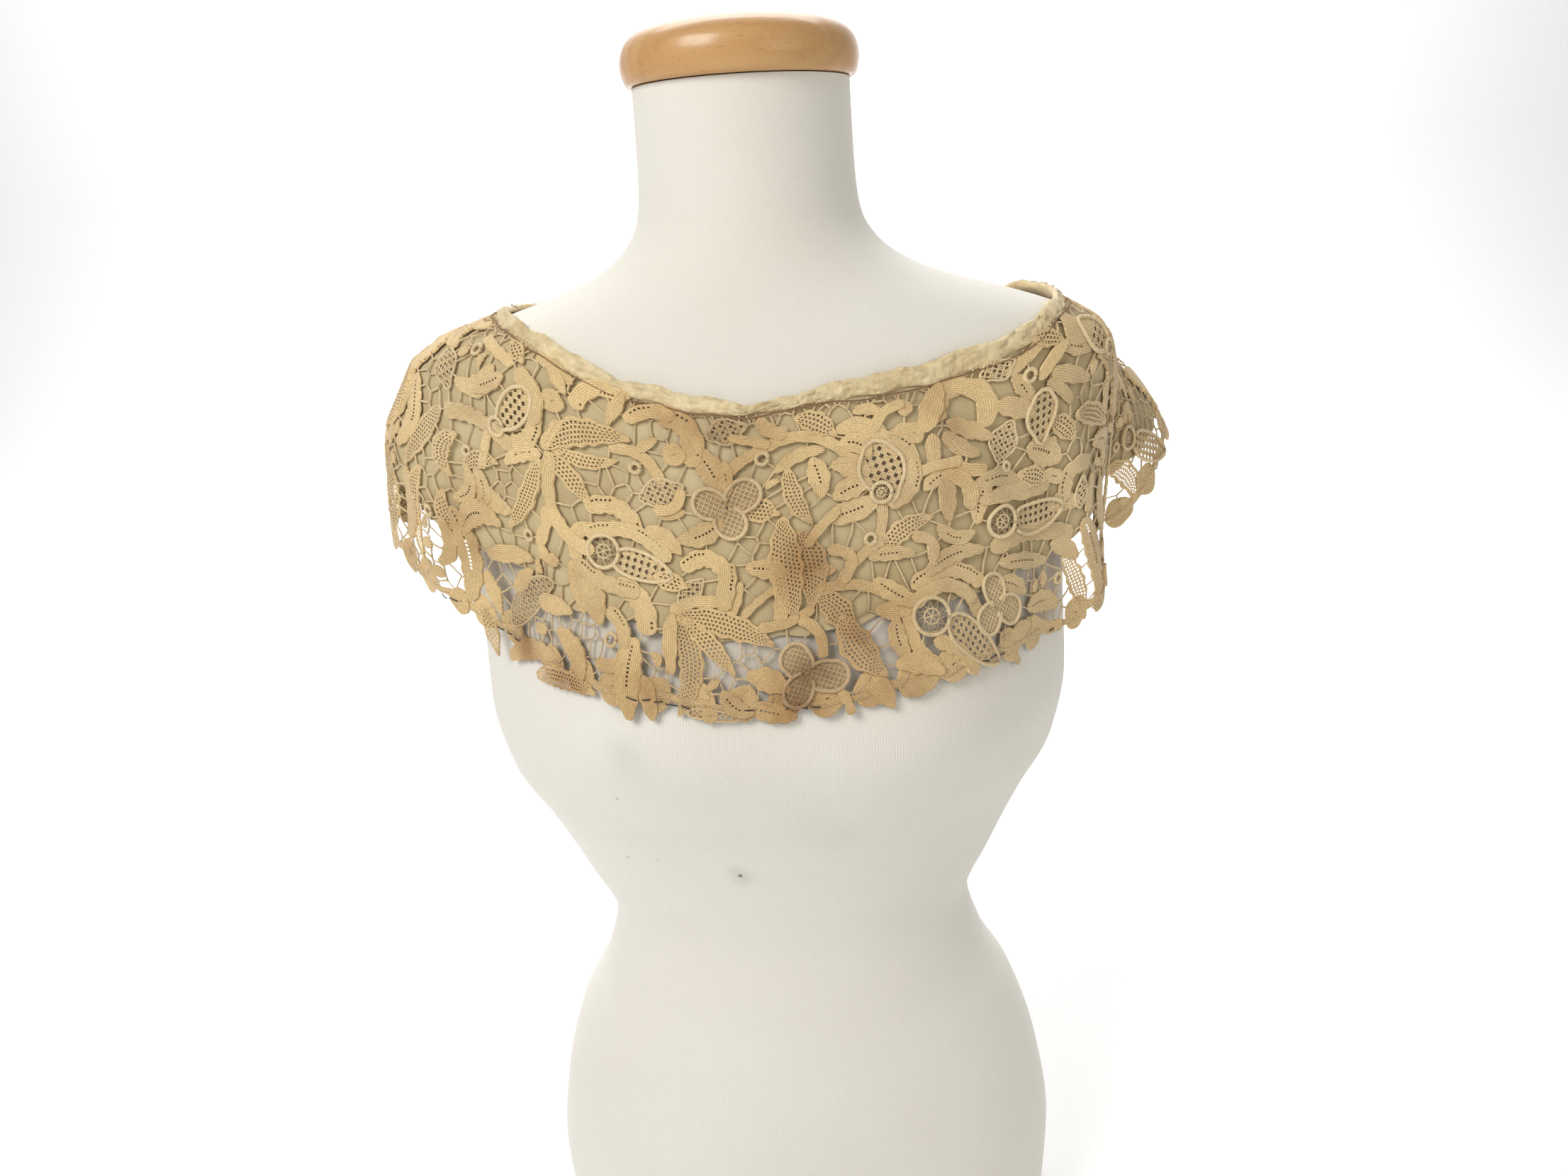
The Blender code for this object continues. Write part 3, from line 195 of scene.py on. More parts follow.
# The cut, part of a ring. Hem: azimuth in degrees and depth in millimetres
CUT_INNER = 225 * MM
CUT_MID = 100 * MM
HEM_MM = (
    (-180, 161),
    (-140, 161),
    (-105, 158),
    (-75, 162),
    (-45, 161),
    (-12, 158),
    (10, 162),
    (40, 160),
    (60, 165),
    (76, 171),
    (86, 162),
    (95, 142),
    (108, 138),
    (122, 150),
    (138, 158),
)
SCALLOP_PITCH = 19 * MM
SCALLOP_DEPTHS = (4.5 * MM, 3 * MM, 5 * MM, 3.5 * MM, 4 * MM)
LINING_DEPTH = 122 * MM
SEAM_RIGHT = math.radians(88)
SEAM_LEFT = math.radians(-95)

# Lace design, in millimetres: each row is one worked motif, from its root to its tip.
# Kind, from along and down, to along and down, bow and half width
FRONT_WORK = (
    # Left tulip and its petals
    ("wheel", -104, 88, -104, 88, 0, 9),
    ("body", -95, 90, -69, 92, 0, 7),
    ("tape", -114, 81, -69, 84, 7, 3.8),
    ("tape", -115, 68, -88, 73, 6, 4.4),
    ("tape", -118, 98, -82, 104, -3, 4),
    ("tape", -92, 103, -74, 121, 5, 5.6),
    ("leaf", -116, 103, -100, 122, 1, 7.5),
    ("ladder", -72, 94, -59, 96, 0, 5),
    ("tape", -118, 97, -108, 78, 8, 3.4),
    ("leaf", -80, 72, -64, 79, 1, 5),
    # Trefoil left of the middle
    ("lobe", -49, 53, -49, 53, 0, 7.5),
    ("lobe", -28, 46, -28, 46, 0, 7.5),
    ("lobe", -36, 61, -36, 61, 0, 7.8),
    ("leaf", -58, 29, -43, 47, 2, 6.5),
    ("leaf", -41, 32, -38, 46, 0, 3.5),
    ("ladder", -30, 54, -11, 57, 1, 6),
    ("leaf", -43, 62, -62, 73, 2, 5.5),
    # Scrolls and buds above it
    ("tape", -100, 20, -76, 14, 3, 3.6),
    ("tape", -82, 14, -61, 33, 7, 5.4),
    ("round", -71, 32, -71, 32, 0, 5.5),
    ("tape", -107, 36, -77, 47, 5, 2.8),
    ("leaf", -92, 34, -83, 27, 0, 2.6),
    ("ring", -92, 43, -92, 43, 0, 3.4),
    ("net", -84, 56, -68, 48, 0, 7),
    ("tape", -78, 61, -65, 49, -4, 2.6),
    ("leaf", -77, 63, -63, 59, -1, 2.6),
    ("net", -49, 19, -32, 13, 0, 6.4),
    ("tape", -38, 19, -14, 23, 1, 2.2),
    ("tape", -40, 38, -8, 22.5, 3, 2.8),
    ("tape", -19, 10, -3, 19, -2, 3.2),
    ("ring", -18, 29, -18, 29, 0, 4),
    # Big scroll with a bud under the trefoil
    ("tape", -59, 86, -37, 87, 6, 4.4),
    ("tape", -37, 83, -39, 103, 1, 4.6),
    ("tape", -37, 102, -63, 109, -3, 3),
    ("net", -59, 103, -51, 93, 0, 5),
    ("leaf", -34, 107, -30, 91, 0, 3),
    ("tape", -28, 107, -11, 94, 1, 2),
    ("leaf", -25, 83, -7, 88, 1, 5),
    # Fan of leaves below the scroll
    ("ladder", -58, 112, -16, 121, 4, 6.5),
    ("leaf", -63, 112, -60, 139, -1, 3.8),
    ("ladder", -60, 112, -54, 158, 6, 6),
    ("ladder", -56, 113, -33, 135, 1, 4.8),
    ("tape", -95, 117, -83, 132, 3, 3.6),
    ("tape", -83, 130, -96, 144, 7, 3.6),
    ("leaf", -79, 130, -76, 164, -2, 7),
    ("ring", -91, 131, -91, 131, 0, 4.4),
    ("leaf", -72, 146, -66, 163, 0, 4.5),
    ("leaf", -36, 147, -25, 155, -2, 4.8),
    ("net", -51, 158, -30, 158, 0, 2.6),
    ("leaf", -24, 137, -9, 145, 1, 6),
    ("leaf", -24, 153, -6, 160, 0, 5),
    ("round", -42, 158, -42, 158, 0, 4),
    # Brown openwork leaf in the middle
    ("ladder", -7, 64, -3, 109, -1, 8.5),
    ("ladder", 3, 72, 6, 106, 3, 7.5),
    ("tape", -15, 80, -10, 110, 3, 4),
    ("leaf", 8, 91, 18, 92, 0, 3),
    ("tape", -20, 113, 6, 109, -2, 2.6),
    ("tape", 0, 113, 9, 133, 4, 2.6),
    # Trefoil at the hem
    ("lobe", -4, 131, -4, 131, 0, 7.4),
    ("lobe", -3, 148, -3, 148, 0, 7.8),
    ("lobe", 13, 144, 13, 144, 0, 7.4),
    # Stem along the top and its leaves
    ("tape", -9, 22, 33, 36, 4, 2.8),
    ("ladder", 7, 14, 27, 25, 1, 5.5),
    ("leaf", -9, 36, 19, 32, 2, 3.4),
    ("ladder", -3, 38, 8, 65, -2, 4.6),
    ("leaf", 13, 37, 16, 53, 1, 5.4),
    ("leaf", 43, 17, 58, 21, 2, 3),
    ("tape", 52, 28, 72, 18, 3, 2.4),
    ("round", 73, 21, 73, 21, 0, 3.6),
    # Middle tulip and its petals
    ("body", 51, 39, 54, 59, 0, 11),
    ("wheel", 50, 59, 50, 59, 0, 5.6),
    ("leaf", 32, 24, 59, 36, 4, 5),
    ("leaf", 33, 31, 46, 38, 2, 5),
    ("leaf", 27, 41, 43, 46, 1, 6),
    ("leaf", 25, 56, 43, 53, 1, 5.5),
    ("leaf", 20, 66, 48, 62, -1, 5.8),
    ("tape", 58, 33, 69, 53, 5, 4),
    ("tape", 70, 48, 55, 65, 5, 4.2),
    ("tape", 61, 40, 74, 31, 4, 3.2),
    ("round", 75, 34, 75, 34, 0, 5.2),
    # Stems and leaves between the tulips
    ("tape", 50, 65, 43, 85, 1, 2.5),
    ("tape", 46, 83, 20, 100, -2, 2.6),
    ("tape", 6, 77, 24, 63, 1, 2.5),
    ("ring", 40, 81, 40, 81, 0, 3.8),
    ("tape", 18, 82, 22, 98, 8, 3),
    ("ladder", 47, 88, 74, 77, 3, 5.2),
    ("leaf", 39, 90, 60, 93, 1, 3.8),
    ("tape", 64, 85, 70, 98, 5, 3),
    ("tape", 9, 101, 41, 108, 3, 2.8),
    ("leaf", 40, 103, 56, 117, -1, 5.2),
    ("leaf", 38, 117, 54, 119, -1, 4.6),
    ("ladder", 11, 105, 22, 124, 2, 7),
    ("ladder", 20, 119, 34, 147, -2, 8),
    ("leaf", 31, 150, 36, 164, 0, 5.2),
    ("tape", 15, 152, 19, 164, 1, 2.2),
    ("round", 9, 162, 9, 162, 0, 8),
    ("round", 28, 166, 28, 166, 0, 6.5),
    # Right tulip, its petals and the hem below it
    ("wheel", 62, 126, 62, 126, 0, 10),
    ("body", 73, 133, 90, 157, -1, 9),
    ("tape", 55, 118, 87, 124, 8, 3.6),
    ("tape", 58, 109, 94, 117, 7, 4.4),
    ("leaf", 66, 104, 99, 101, 3, 4.4),
    ("tape", 52, 120, 60, 151, -5, 3.4),
    ("leaf", 45, 124, 47, 143, -2, 4.6),
    ("leaf", 43, 146, 60, 154, 2, 5.4),
    ("leaf", 43, 160, 57, 157, 0, 5),
    ("tape", 62, 139, 77, 160, 3, 4),
    ("tape", 82, 117, 88, 133, 2, 3.6),
    ("round", 69, 162, 69, 162, 0, 7.6),
    ("lobe", 101, 122, 101, 122, 0, 7),
    ("lobe", 93, 138, 93, 138, 0, 7.6),
    ("lobe", 109, 137, 109, 137, 0, 8),
    ("leaf", 107, 121, 121, 132, 1, 4.6),
    ("leaf", 78, 164, 100, 166, 0, 4),
    ("tape", 104, 150, 108, 167, 0, 2.4),
    ("leaf", 108, 153, 122, 151, 1, 4.5),
    ("round", 114, 168, 114, 168, 0, 8),
    # Crumpled part right of the middle
    ("leaf", 82, 33, 94, 15, 0, 5),
    ("leaf", 84, 38, 83, 52, 0, 3.4),
    ("tape", 72, 54, 96, 53, 1, 2.6),
    ("leaf", 76, 62, 91, 57, 1, 4.4),
    ("leaf", 88, 60, 85, 80, 0, 4.6),
    ("leaf", 79, 84, 96, 91, -4, 4),
    ("tape", 89, 30, 108, 16, 4, 4.4),
    ("tape", 105, 17, 115, 39, 6, 4.4),
    ("leaf", 91, 39, 105, 53, -1, 3.6),
    ("leaf", 95, 34, 115, 47, 0, 4.4),
    ("net", 118, 58, 127, 45, 0, 7),
    ("tape", 91, 53, 107, 61, -1, 2.8),
    ("tape", 88, 58, 98, 77, 5, 3.4),
    ("leaf", 101, 86, 109, 64, 1, 4.2),
    ("leaf", 104, 66, 128, 73, 2, 4.4),
    ("net", 122, 17, 135, 14, 0, 6),
    ("ring", 121, 64, 121, 64, 0, 3.2),
    # Tulip by the right shoulder
    ("wheel", 114, 91, 114, 91, 0, 8.5),
    ("body", 124, 95, 154, 99, 0, 8),
    ("leaf", 106, 76, 148, 84, 1, 5.4),
    ("ladder", 131, 71, 146, 80, 1, 5),
    ("tape", 107, 103, 162, 119, 6, 4.6),
    ("leaf", 110, 112, 142, 122, 0, 4.4),
    ("leaf", 152, 96, 168, 104, 1, 5),
    ("tape", 161, 97, 179, 88, 8, 4.2),
    ("net", 170, 106, 173, 94, 0, 4),
    ("tape", 184, 99, 176, 112, -2, 3.4),
    ("body", 150, 39, 147, 55, 0, 9.5),
    ("leaf", 140, 60, 158, 74, 1, 7.4),
    ("ladder", 157, 53, 169, 69, 1, 4.6),
    ("leaf", 124, 33, 141, 42, 1, 5.2),
    ("leaf", 136, 22, 143, 36, 0, 3.8),
    ("ring", 145, 24, 145, 24, 0, 4),
    ("tape", 134, 19, 162, 13, 1, 2.8),
    ("ladder", 156, 10, 174, 20, 1, 4),
    ("leaf", 152, 28, 176, 22, 1, 3.4),
    ("tape", 157, 33, 172, 51, 1, 2.6),
    ("leaf", 162, 30, 187, 47, 0, 4),
    ("leaf", 174, 22, 192, 34, 0, 4),
    ("leaf", 160, 86, 148, 77, 0, 3.6),
    ("ladder", 175, 60, 200, 78, 2, 5.4),
    ("leaf", 126, 143, 148, 150, 3, 6),
    ("tape", 126, 150, 150, 163, -2, 3),
    ("ladder", 157, 128, 167, 168, 2, 5.6),
    ("leaf", 150, 117, 165, 132, 1, 4.6),
    ("ring", 151, 137, 151, 137, 0, 3.6),
    ("leaf", 172, 118, 178, 160, 2, 6),
    # Fan of openwork leaves on the left
    ("ladder", -142, 48, -101, 30, 5, 6.4),
    ("ladder", -138, 49, -104, 42, -2, 3.6),
    ("ladder", -140, 53, -116, 66, 1, 5.2),
    ("ladder", -146, 59, -161, 98, 2, 5),
    ("leaf", -147, 55, -168, 68, -2, 4.4),
    ("tape", -143, 50, -138, 35, 0, 2.2),
    ("round", -144, 27, -144, 27, 0, 5.4),
    ("tape", -139, 54, -134, 82, -2, 3.2),
    ("tape", -135, 79, -111, 89, -4, 3.8),
    ("tape", -138, 80, -142, 99, 1, 3.2),
    ("tape", -142, 97, -130, 103, -4, 3),
    ("ring", -150, 99, -150, 99, 0, 3.4),
    ("tape", -104, 9, -131, 23, -6, 3.8),
    ("leaf", -106, 9, -111, 24, 0, 3),
    ("tape", -161, 11, -137, 14, 1, 2.8),
    ("leaf", -148, 13, -139, 20, 0, 3),
    # Tulip on the left shoulder
    ("body", -161, 32, -174, 50, 0, 8),
    ("wheel", -178, 54, -178, 54, 0, 5),
    ("tape", -170, 24, -153, 40, 6, 4.4),
    ("tape", -152, 38, -166, 58, 5, 4.4),
    ("leaf", -183, 30, -202, 44, 1, 4.4),
    ("leaf", -192, 30, -214, 46, 1, 4.6),
    ("tape", -168, 60, -214, 62, -4, 4),
    ("ladder", -172, 17, -188, 12, 0, 4),
    ("tape", -179, 21, -216, 19, 1, 3),
    ("ring", -213, 27, -213, 27, 0, 4),
    ("ring", -196, 75, -196, 75, 0, 3.2),
    ("ladder", -195, 82, -176, 72, 2, 4.4),
    ("leaf", -207, 72, -204, 90, 0, 4.6),
    ("leaf", -187, 82, -184, 100, 0, 3.8),
    ("leaf", -196, 100, -193, 84, 0, 4),
    ("leaf", -180, 88, -164, 92, -2, 5),
    ("tape", -184, 60, -184, 78, 0, 2.4),
    # Left side towards the hem
    ("leaf", -191, 114, -171, 101, 1, 5.6),
    ("leaf", -205, 103, -192, 118, 0, 4.4),
    ("leaf", -197, 110, -189, 150, 2, 7.6),
    ("leaf", -175, 121, -149, 111, 1, 4.6),
    ("net", -159, 149, -133, 117, 1, 8.4),
    ("leaf", -136, 128, -118, 124, 1, 4.8),
    ("leaf", -158, 131, -148, 118, 0, 4.6),
    ("leaf", -177, 133, -170, 149, 0, 5),
    ("leaf", -162, 171, -124, 151, 2, 5.4),
    ("ladder", -134, 167, -96, 160, 4, 5),
    ("leaf", -120, 136, -104, 154, 3, 5.4),
    ("ladder", -180, 154, -173, 174, 0, 5.6),
    ("round", -196, 157, -196, 157, 0, 7),
    ("leaf", -121, 101, -110, 120, 0, 4.6),
    ("leaf", -205, 118, -206, 140, 0, 4),
    # Round the shoulders, towards the seams
    ("wheel", 209, 42, 209, 42, 0, 4),
    ("body", 206, 38, 196, 22, 0, 7),
    ("net", -236, 40, -222, 50, 0, 8),
    ("ladder", -222, 66, -238, 102, 0, 6.5),
    ("leaf", -224, 100, -222, 145, 0, 5),
    ("leaf", -236, 108, -235, 142, 0, 5),
    ("leaf", 188, 14, 200, 24, 0, 6),
    ("leaf", 202, 42, 206, 58, 0, 5),
    ("tape", 205, 58, 203, 75, 0, 3),
    ("leaf", 192, 84, 199, 98, 0, 5.4),
    ("round", 190, 160, 190, 160, 0, 6),
    ("leaf", -252, 62, -246, 96, 0, 5),
    ("leaf", -254, 20, -240, 34, 0, 5),
    ("leaf", -258, 108, -254, 148, 0, 6),
    ("tape", -236, 14, -266, 18, 3, 3.4),
    ("leaf", -270, 34, -262, 60, 1, 5.4),
    ("leaf", -272, 84, -268, 120, 0, 5.6),
    ("leaf", -286, 60, -290, 92, 0, 5.6),
    ("leaf", 194, 108, 200, 144, 0, 5.4),
    ("leaf", 212, 92, 214, 140, 0, 5),
    ("leaf", 224, 40, 226, 84, 0, 5),
)
# More motifs on the back, near its ends
WING_WORK = (
    ("wheel", -306, 105, -306, 105, 0, 7),
    ("body", -298, 111, -276, 132, 0, 8),
    ("leaf", -318, 70, -300, 62, 0, 6),
    ("leaf", -282, 60, -290, 84, 3, 6),
    ("leaf", -322, 118, -306, 140, 0, 6),
    ("leaf", -262, 86, -250, 122, 3, 6),
    ("leaf", -316, 40, -300, 24, 0, 6),
    ("tape", -300, 44, -272, 40, 8, 4),
    ("net", -262, 50, -250, 70, 0, 6),
    ("leaf", -288, 18, -262, 14, 2, 5),
    ("leaf", 282, 60, 286, 96, 0, 5),
    ("leaf", 280, 112, 284, 144, 0, 6),
)
# How a patch's half width swells along it: where on a half wave it begins and ends
TAPERS = {"leaf": (0.16, 0.9), "ladder": (0.16, 0.9), "body": (0.3, 0.8), "net": (0.2, 0.85)}
# How much fuller than its measured half width each kind of patch is worked, with its edge thread
FULLNESS = {"leaf": 1.03, "ladder": 1.06, "tape": 1.02, "round": 1.02}
# Half width from which each kind of patch is worked with openings
OPEN_FROM = {"ladder": 2.2 * MM, "leaf": 3.4 * MM, "tape": 3.6 * MM}
# Cross-section of a worked patch: share of the half width, and height over its edge
PATCH_SECTION = (
    (-1, 0),
    (-0.97, 1.0),
    (-0.84, 0.78),
    (-0.5, 0.9),
    (-0.09, 0.84),
    (0.09, 0.84),
    (0.4, 0.9),
    (0.62, 0.86),
    (0.84, 0.78),
    (0.97, 1.0),
    (1, 0),
)
# Rings of a round patch: share of the radius, and height over its edge
ROUND_SECTION = ((0.05, 0.9), (0.3, 0.86), (0.6, 0.9), (0.84, 0.8), (0.96, 1.0), (1.0, 0.0))
CLOVER_REACH = 27 * MM
LOBE_WAY = (1.0, 0.35)
# Leaves further along than this are bent by this bow, in millimetres, and worked this much wider, unless
# their own bow is as much as the last value
SHOULDER_ALONG = 185
SHOULDER_BOW = 5.5
SHOULDER_FULLNESS = 1.12
SHOULDER_STRAIGHT = 3

# Openwork fillings, in millimetres: thread spacing, thread radius, half side of a darned check, how many
# openings share one check, then the lift and the radius of the cord round the filling
FILLINGS = {
    "body": (2.7, 0.4, 1.25, 2, 3.5, 1.0),
    "lobe": (2.3, 0.52, 0.5, 1, 3.5, 1.0),
    "net": (2.2, 0.42, 0.6, 3, 2.6, 0.6),
}

# Net of bars: how far apart the meshes lie, where they may lie, and the least and greatest bar
NET_PITCH = 6.6 * MM
NET_SEED = 11
SITE_GRID = 1.3 * MM
SITE_ROOM = 1.9 * MM
SITE_DEPTH = 175 * MM
SITE_TOP = 0.15
SITE_TURN = 1.0
BAR_RADIUS = 0.47 * MM
BAR_LEAST = 0.8 * MM
BAR_MOST = 60 * MM
BAR_TUCK = 2.3 * MM
LACE_SEEDS = {"front": 23, "back": 29}

# Sizes of the worked threads, and how far each layer lies out from the draped cloth's inner face
GAUZE_LIFT = 0.9 * MM
BAR_LIFT = 2.2 * MM
PATCH_LIFT = 2.0 * MM
PATCH_RISE = 0.75 * MM
TIER = 0.25 * MM
CORD_LIFT = 3.5 * MM
CORD_RADIUS = 1.05 * MM
THREAD_RADIUS = 0.4 * MM
LATTICE_LIFT = 2.5 * MM
STITCH_PITCH = 1.15 * MM

# Layers of a lace panel: stock, piece and finish
LACE_LAYERS = (
    ("patches", "lace_patches_", "patch"),
    ("threads", "lace_fillings_", "thread"),
    ("cords", "lace_cords_", "cord"),
    ("bars", "lace_bars_", "thread"),
    ("hanging", "hanging_thread_", "brown"),
)

# Rolled binding: share of its width and height in millimetres, once round the section
BINDING_ROLL = (
    (1.0, 1.5),
    (0.97, 2.3),
    (0.88, 2.9),
    (0.72, 3.5),
    (0.52, 4.1),
    (0.33, 4.5),
    (0.16, 4.3),
    (0.04, 3.4),
    (-0.02, 2.0),
    (0.04, 0.7),
    (0.2, 0.1),
    (0.6, 0.1),
    (0.92, 0.4),
)
# Its slanting creases: length in millimetres, slant and weight
CRUMPLES = ((11.0, 6.0, 0.55), (6.1, -7.0, 0.4), (17.0, 9.0, 0.6), (3.7, 4.0, 0.22))
CRUMPLE_HEIGHT = 2.6

# Age: brown marks and paler stretches on the cloth, in millimetres: along, down, reach and strength
BROWN_MARKS = (
    (0, 84, 19, 0.8),
    (-42, 44, 17, 0.42),
    (22, 122, 16, 0.4),
    (4, 144, 18, 0.25),
    (-112, 163, 12, 0.9),
    (-148, 160, 12, 0.7),
    (-120, 150, 30, 0.25),
    (-70, 22, 24, 0.3),
    (-20, 164, 60, 0.35),
    (60, 166, 60, 0.2),
    (-190, 110, 34, 0.25),
    (-76, 158, 18, 0.4),
    (90, 26, 20, 0.25),
    (30, 96, 20, 0.2),
    (150, 160, 24, 0.25),
)
PALE_MARKS = (
    (180, 90, 60, 0.6),
    (60, 60, 40, 0.35),
    (100, 130, 40, 0.3),
    (-210, 60, 50, 0.45),
    (-90, 92, 28, 0.3),
)
# Black repair stitches along the hem: from along, to along and how far above the edge, in millimetres
REPAIRS = (
    (-78, -50, 3.5),
    (-28, -22, 4),
    (-9, 4, 4),
    (82, 99, 3.5),
    (139, 143, 5),
    (-172, -158, 3),
    (-206, -200, 4),
    (-300, -286, 4),
)
REPAIR_SEEDS = {"front": 5, "back": 6}

# Colours
WORKED_ECRU = (0.75, 0.54, 0.262, 1)
WORKED_BROWN = (0.38, 0.20, 0.072, 1)
WORKED_PALE = (0.80, 0.64, 0.39, 1)
THREAD_BROWN = (0.30, 0.165, 0.065, 1)
GAUZE_LIGHT = (0.575, 0.465, 0.262, 1)
GAUZE_DARK = (0.455, 0.345, 0.178, 1)
BINDING_LIGHT = (0.90, 0.74, 0.44, 1)
BINDING_DARK = (0.69, 0.52, 0.27, 1)
REPAIR_BLACK = (0.012, 0.01, 0.012, 1)
REPAIR_FUZZ = (0.07, 0.055, 0.05, 1)
JERSEY_LIGHT = (0.815, 0.785, 0.71, 1)
JERSEY_DARK = (0.785, 0.745, 0.66, 1)
# Painted shade: the colour that the cover is multiplied by where it lies under the capelet
JERSEY_PAINTED_SHADE = (0.81, 0.77, 0.735, 1)
JERSEY_MARK = (0.05, 0.045, 0.03, 1)
WOOD_LIGHT = (0.60, 0.345, 0.135, 1)
WOOD_DARK = (0.47, 0.245, 0.085, 1)
WOOD_PORE = (0.30, 0.15, 0.055, 1)
PAPER = (0.93, 0.93, 0.93, 1)
# Threads: name, fresh colour, pale colour, share of brown clouds and length of the twist in millimetres
THREADS = {
    "thread": ("bar_thread", (0.82, 0.63, 0.35, 1), (0.88, 0.73, 0.46, 1), 0.4, 0.9),
    "brown": ("brown_hanging_thread", (0.26, 0.13, 0.05, 1), (0.42, 0.26, 0.13, 1), 0.3, 0.9),
    "cord": ("raised_cord_thread", (0.82, 0.63, 0.35, 1), (0.87, 0.73, 0.46, 1), 0.35, 1.1),
}

# Studio
CAMERA_AT = (0.0065, -0.668, 0.700)
CAMERA_DOWN = math.radians(18.3)
CAMERA_ROLL = math.radians(3.5)
CAMERA_LENS = 27
CAMERA_SENSOR = 36
AIR_LIGHT = 0.37
# Lamps: name, place, aim, side, power and colour
LIGHTS = (
    ("window_left", (-1.0, -1.15, 1.75), (0, 0, 0.5), 0.9, 24, (1.0, 1.0, 0.985)),
    ("fill_right", (1.3, -1.4, 1.1), (0, 0, 0.5), 1.2, 5, (1.0, 0.93, 0.80)),
    ("backdrop", (0, 1.7, 2.8), (0, 3.0, 0.9), 2.4, 95, (1, 1, 1)),
)
# Paper: its front edge, where it starts to sweep up, the sweep's radius, its top, half its width, and how
# far it lies under the ground plane
PAPER_FRONT = -3.0
SWEEP_START = 2.2
SWEEP_RADIUS = 0.8
PAPER_TOP = 4.0
PAPER_HALF = 5.0
PAPER_DROP = 0.0005


def smooth_rows(rows, at):
    """Read the other columns of a table at places along its first, with a cubic that never overshoots."""
    table = np.array(rows, float) * MM
    knots, values = table[:, 0], table[:, 1:]
    gaps = np.diff(knots)[:, None]
    slopes = np.diff(values, axis=0) / gaps
    tangents = np.zeros_like(values)
    tangents[0], tangents[-1] = slopes[0], slopes[-1]
    before, after = slopes[:-1], slopes[1:]
    weight_a = 2 * gaps[1:] + gaps[:-1]
    weight_b = gaps[1:] + 2 * gaps[:-1]
    turning = before * after <= 0
    safe_a = np.where(turning, 1.0, before)
    safe_b = np.where(turning, 1.0, after)
    tangents[1:-1] = np.where(turning, 0.0, (weight_a + weight_b) / (weight_a / safe_a + weight_b / safe_b))
    place = np.clip(np.asarray(at, float), knots[0], knots[-1])
    low = np.clip(np.searchsorted(knots, place) - 1, 0, len(knots) - 2)
    return hermite(knots, values, tangents, low, place)


def ring_rows(rows, at, column=1):
    """Read one column of a table that runs round in degrees and closes on itself."""
    table = np.array(rows, float)
    knots = np.concatenate([table[-2:, 0] - 360, table[:, 0], table[:3, 0] + 360])
    values = np.concatenate([table[-2:, column], table[:, column], table[:3, column]])[:, None]
    tangents = np.gradient(values[:, 0], knots)[:, None]
    place = (np.asarray(at, float) - table[0, 0]) % 360 + table[0, 0]
    low = np.clip(np.searchsorted(knots, place, side="right") - 1, 0, len(knots) - 2)
    return hermite(knots, values, tangents, low, place)[..., 0]


def hermite(knots, values, tangents, low, place):
    """Values between two knots, from the values and slopes at both."""
    span = (knots[low + 1] - knots[low])[..., None]
    t = (place - knots[low])[..., None] / span
    start = (2 * t ** 3 - 3 * t ** 2 + 1) * values[low] + (t ** 3 - 2 * t ** 2 + t) * span * tangents[low]
    end = (3 * t ** 2 - 2 * t ** 3) * values[low + 1] + (t ** 3 - t ** 2) * span * tangents[low + 1]
    return start + end


def turn_between(a, b):
    """Angle from b to a, the short way round."""
    return (a - b + math.pi) % FULL_TURN - math.pi


def bell(distance, spread):
    """One at no distance, falling off softly beyond the spread."""
    return np.exp(-(distance / spread) ** 2)


def ease(t):
    """A soft step from nothing to one."""
    t = np.clip(t, 0, 1)
    return t * t * (3 - 2 * t)


def form_radius(azimuth, height):
    """Distance from the axis to the form's cover. Azimuth 0 faces the front and turns towards +X."""
    sizes = smooth_rows(FORM_MM, height)
    half_width, front, back = sizes[..., 0], sizes[..., 1], sizes[..., 2]
    facing = np.cos(azimuth)
    depth = np.where(facing >= 0, front, back)
    radius = 1 / np.sqrt((np.sin(azimuth) / half_width) ** 2 + (facing / depth) ** 2)
    lobes = sum(bell(turn_between(azimuth, side * BUST_AZIMUTH), BUST_WIDE) for side in (-1, 1))
    return radius + BUST_LIFT * lobes * bell(height - BUST_HEIGHT, BUST_TALL)


def clearance(x, y, z):
    """Distance off the form's cover, allowing for its slope."""
    azimuth = np.arctan2(x, -y)
    slope = (form_radius(azimuth, z + MM) - form_radius(azimuth, z - MM)) / (2 * MM)
    return (np.hypot(x, y) - form_radius(azimuth, z)) / np.sqrt(1 + slope ** 2)


# Draped cloth

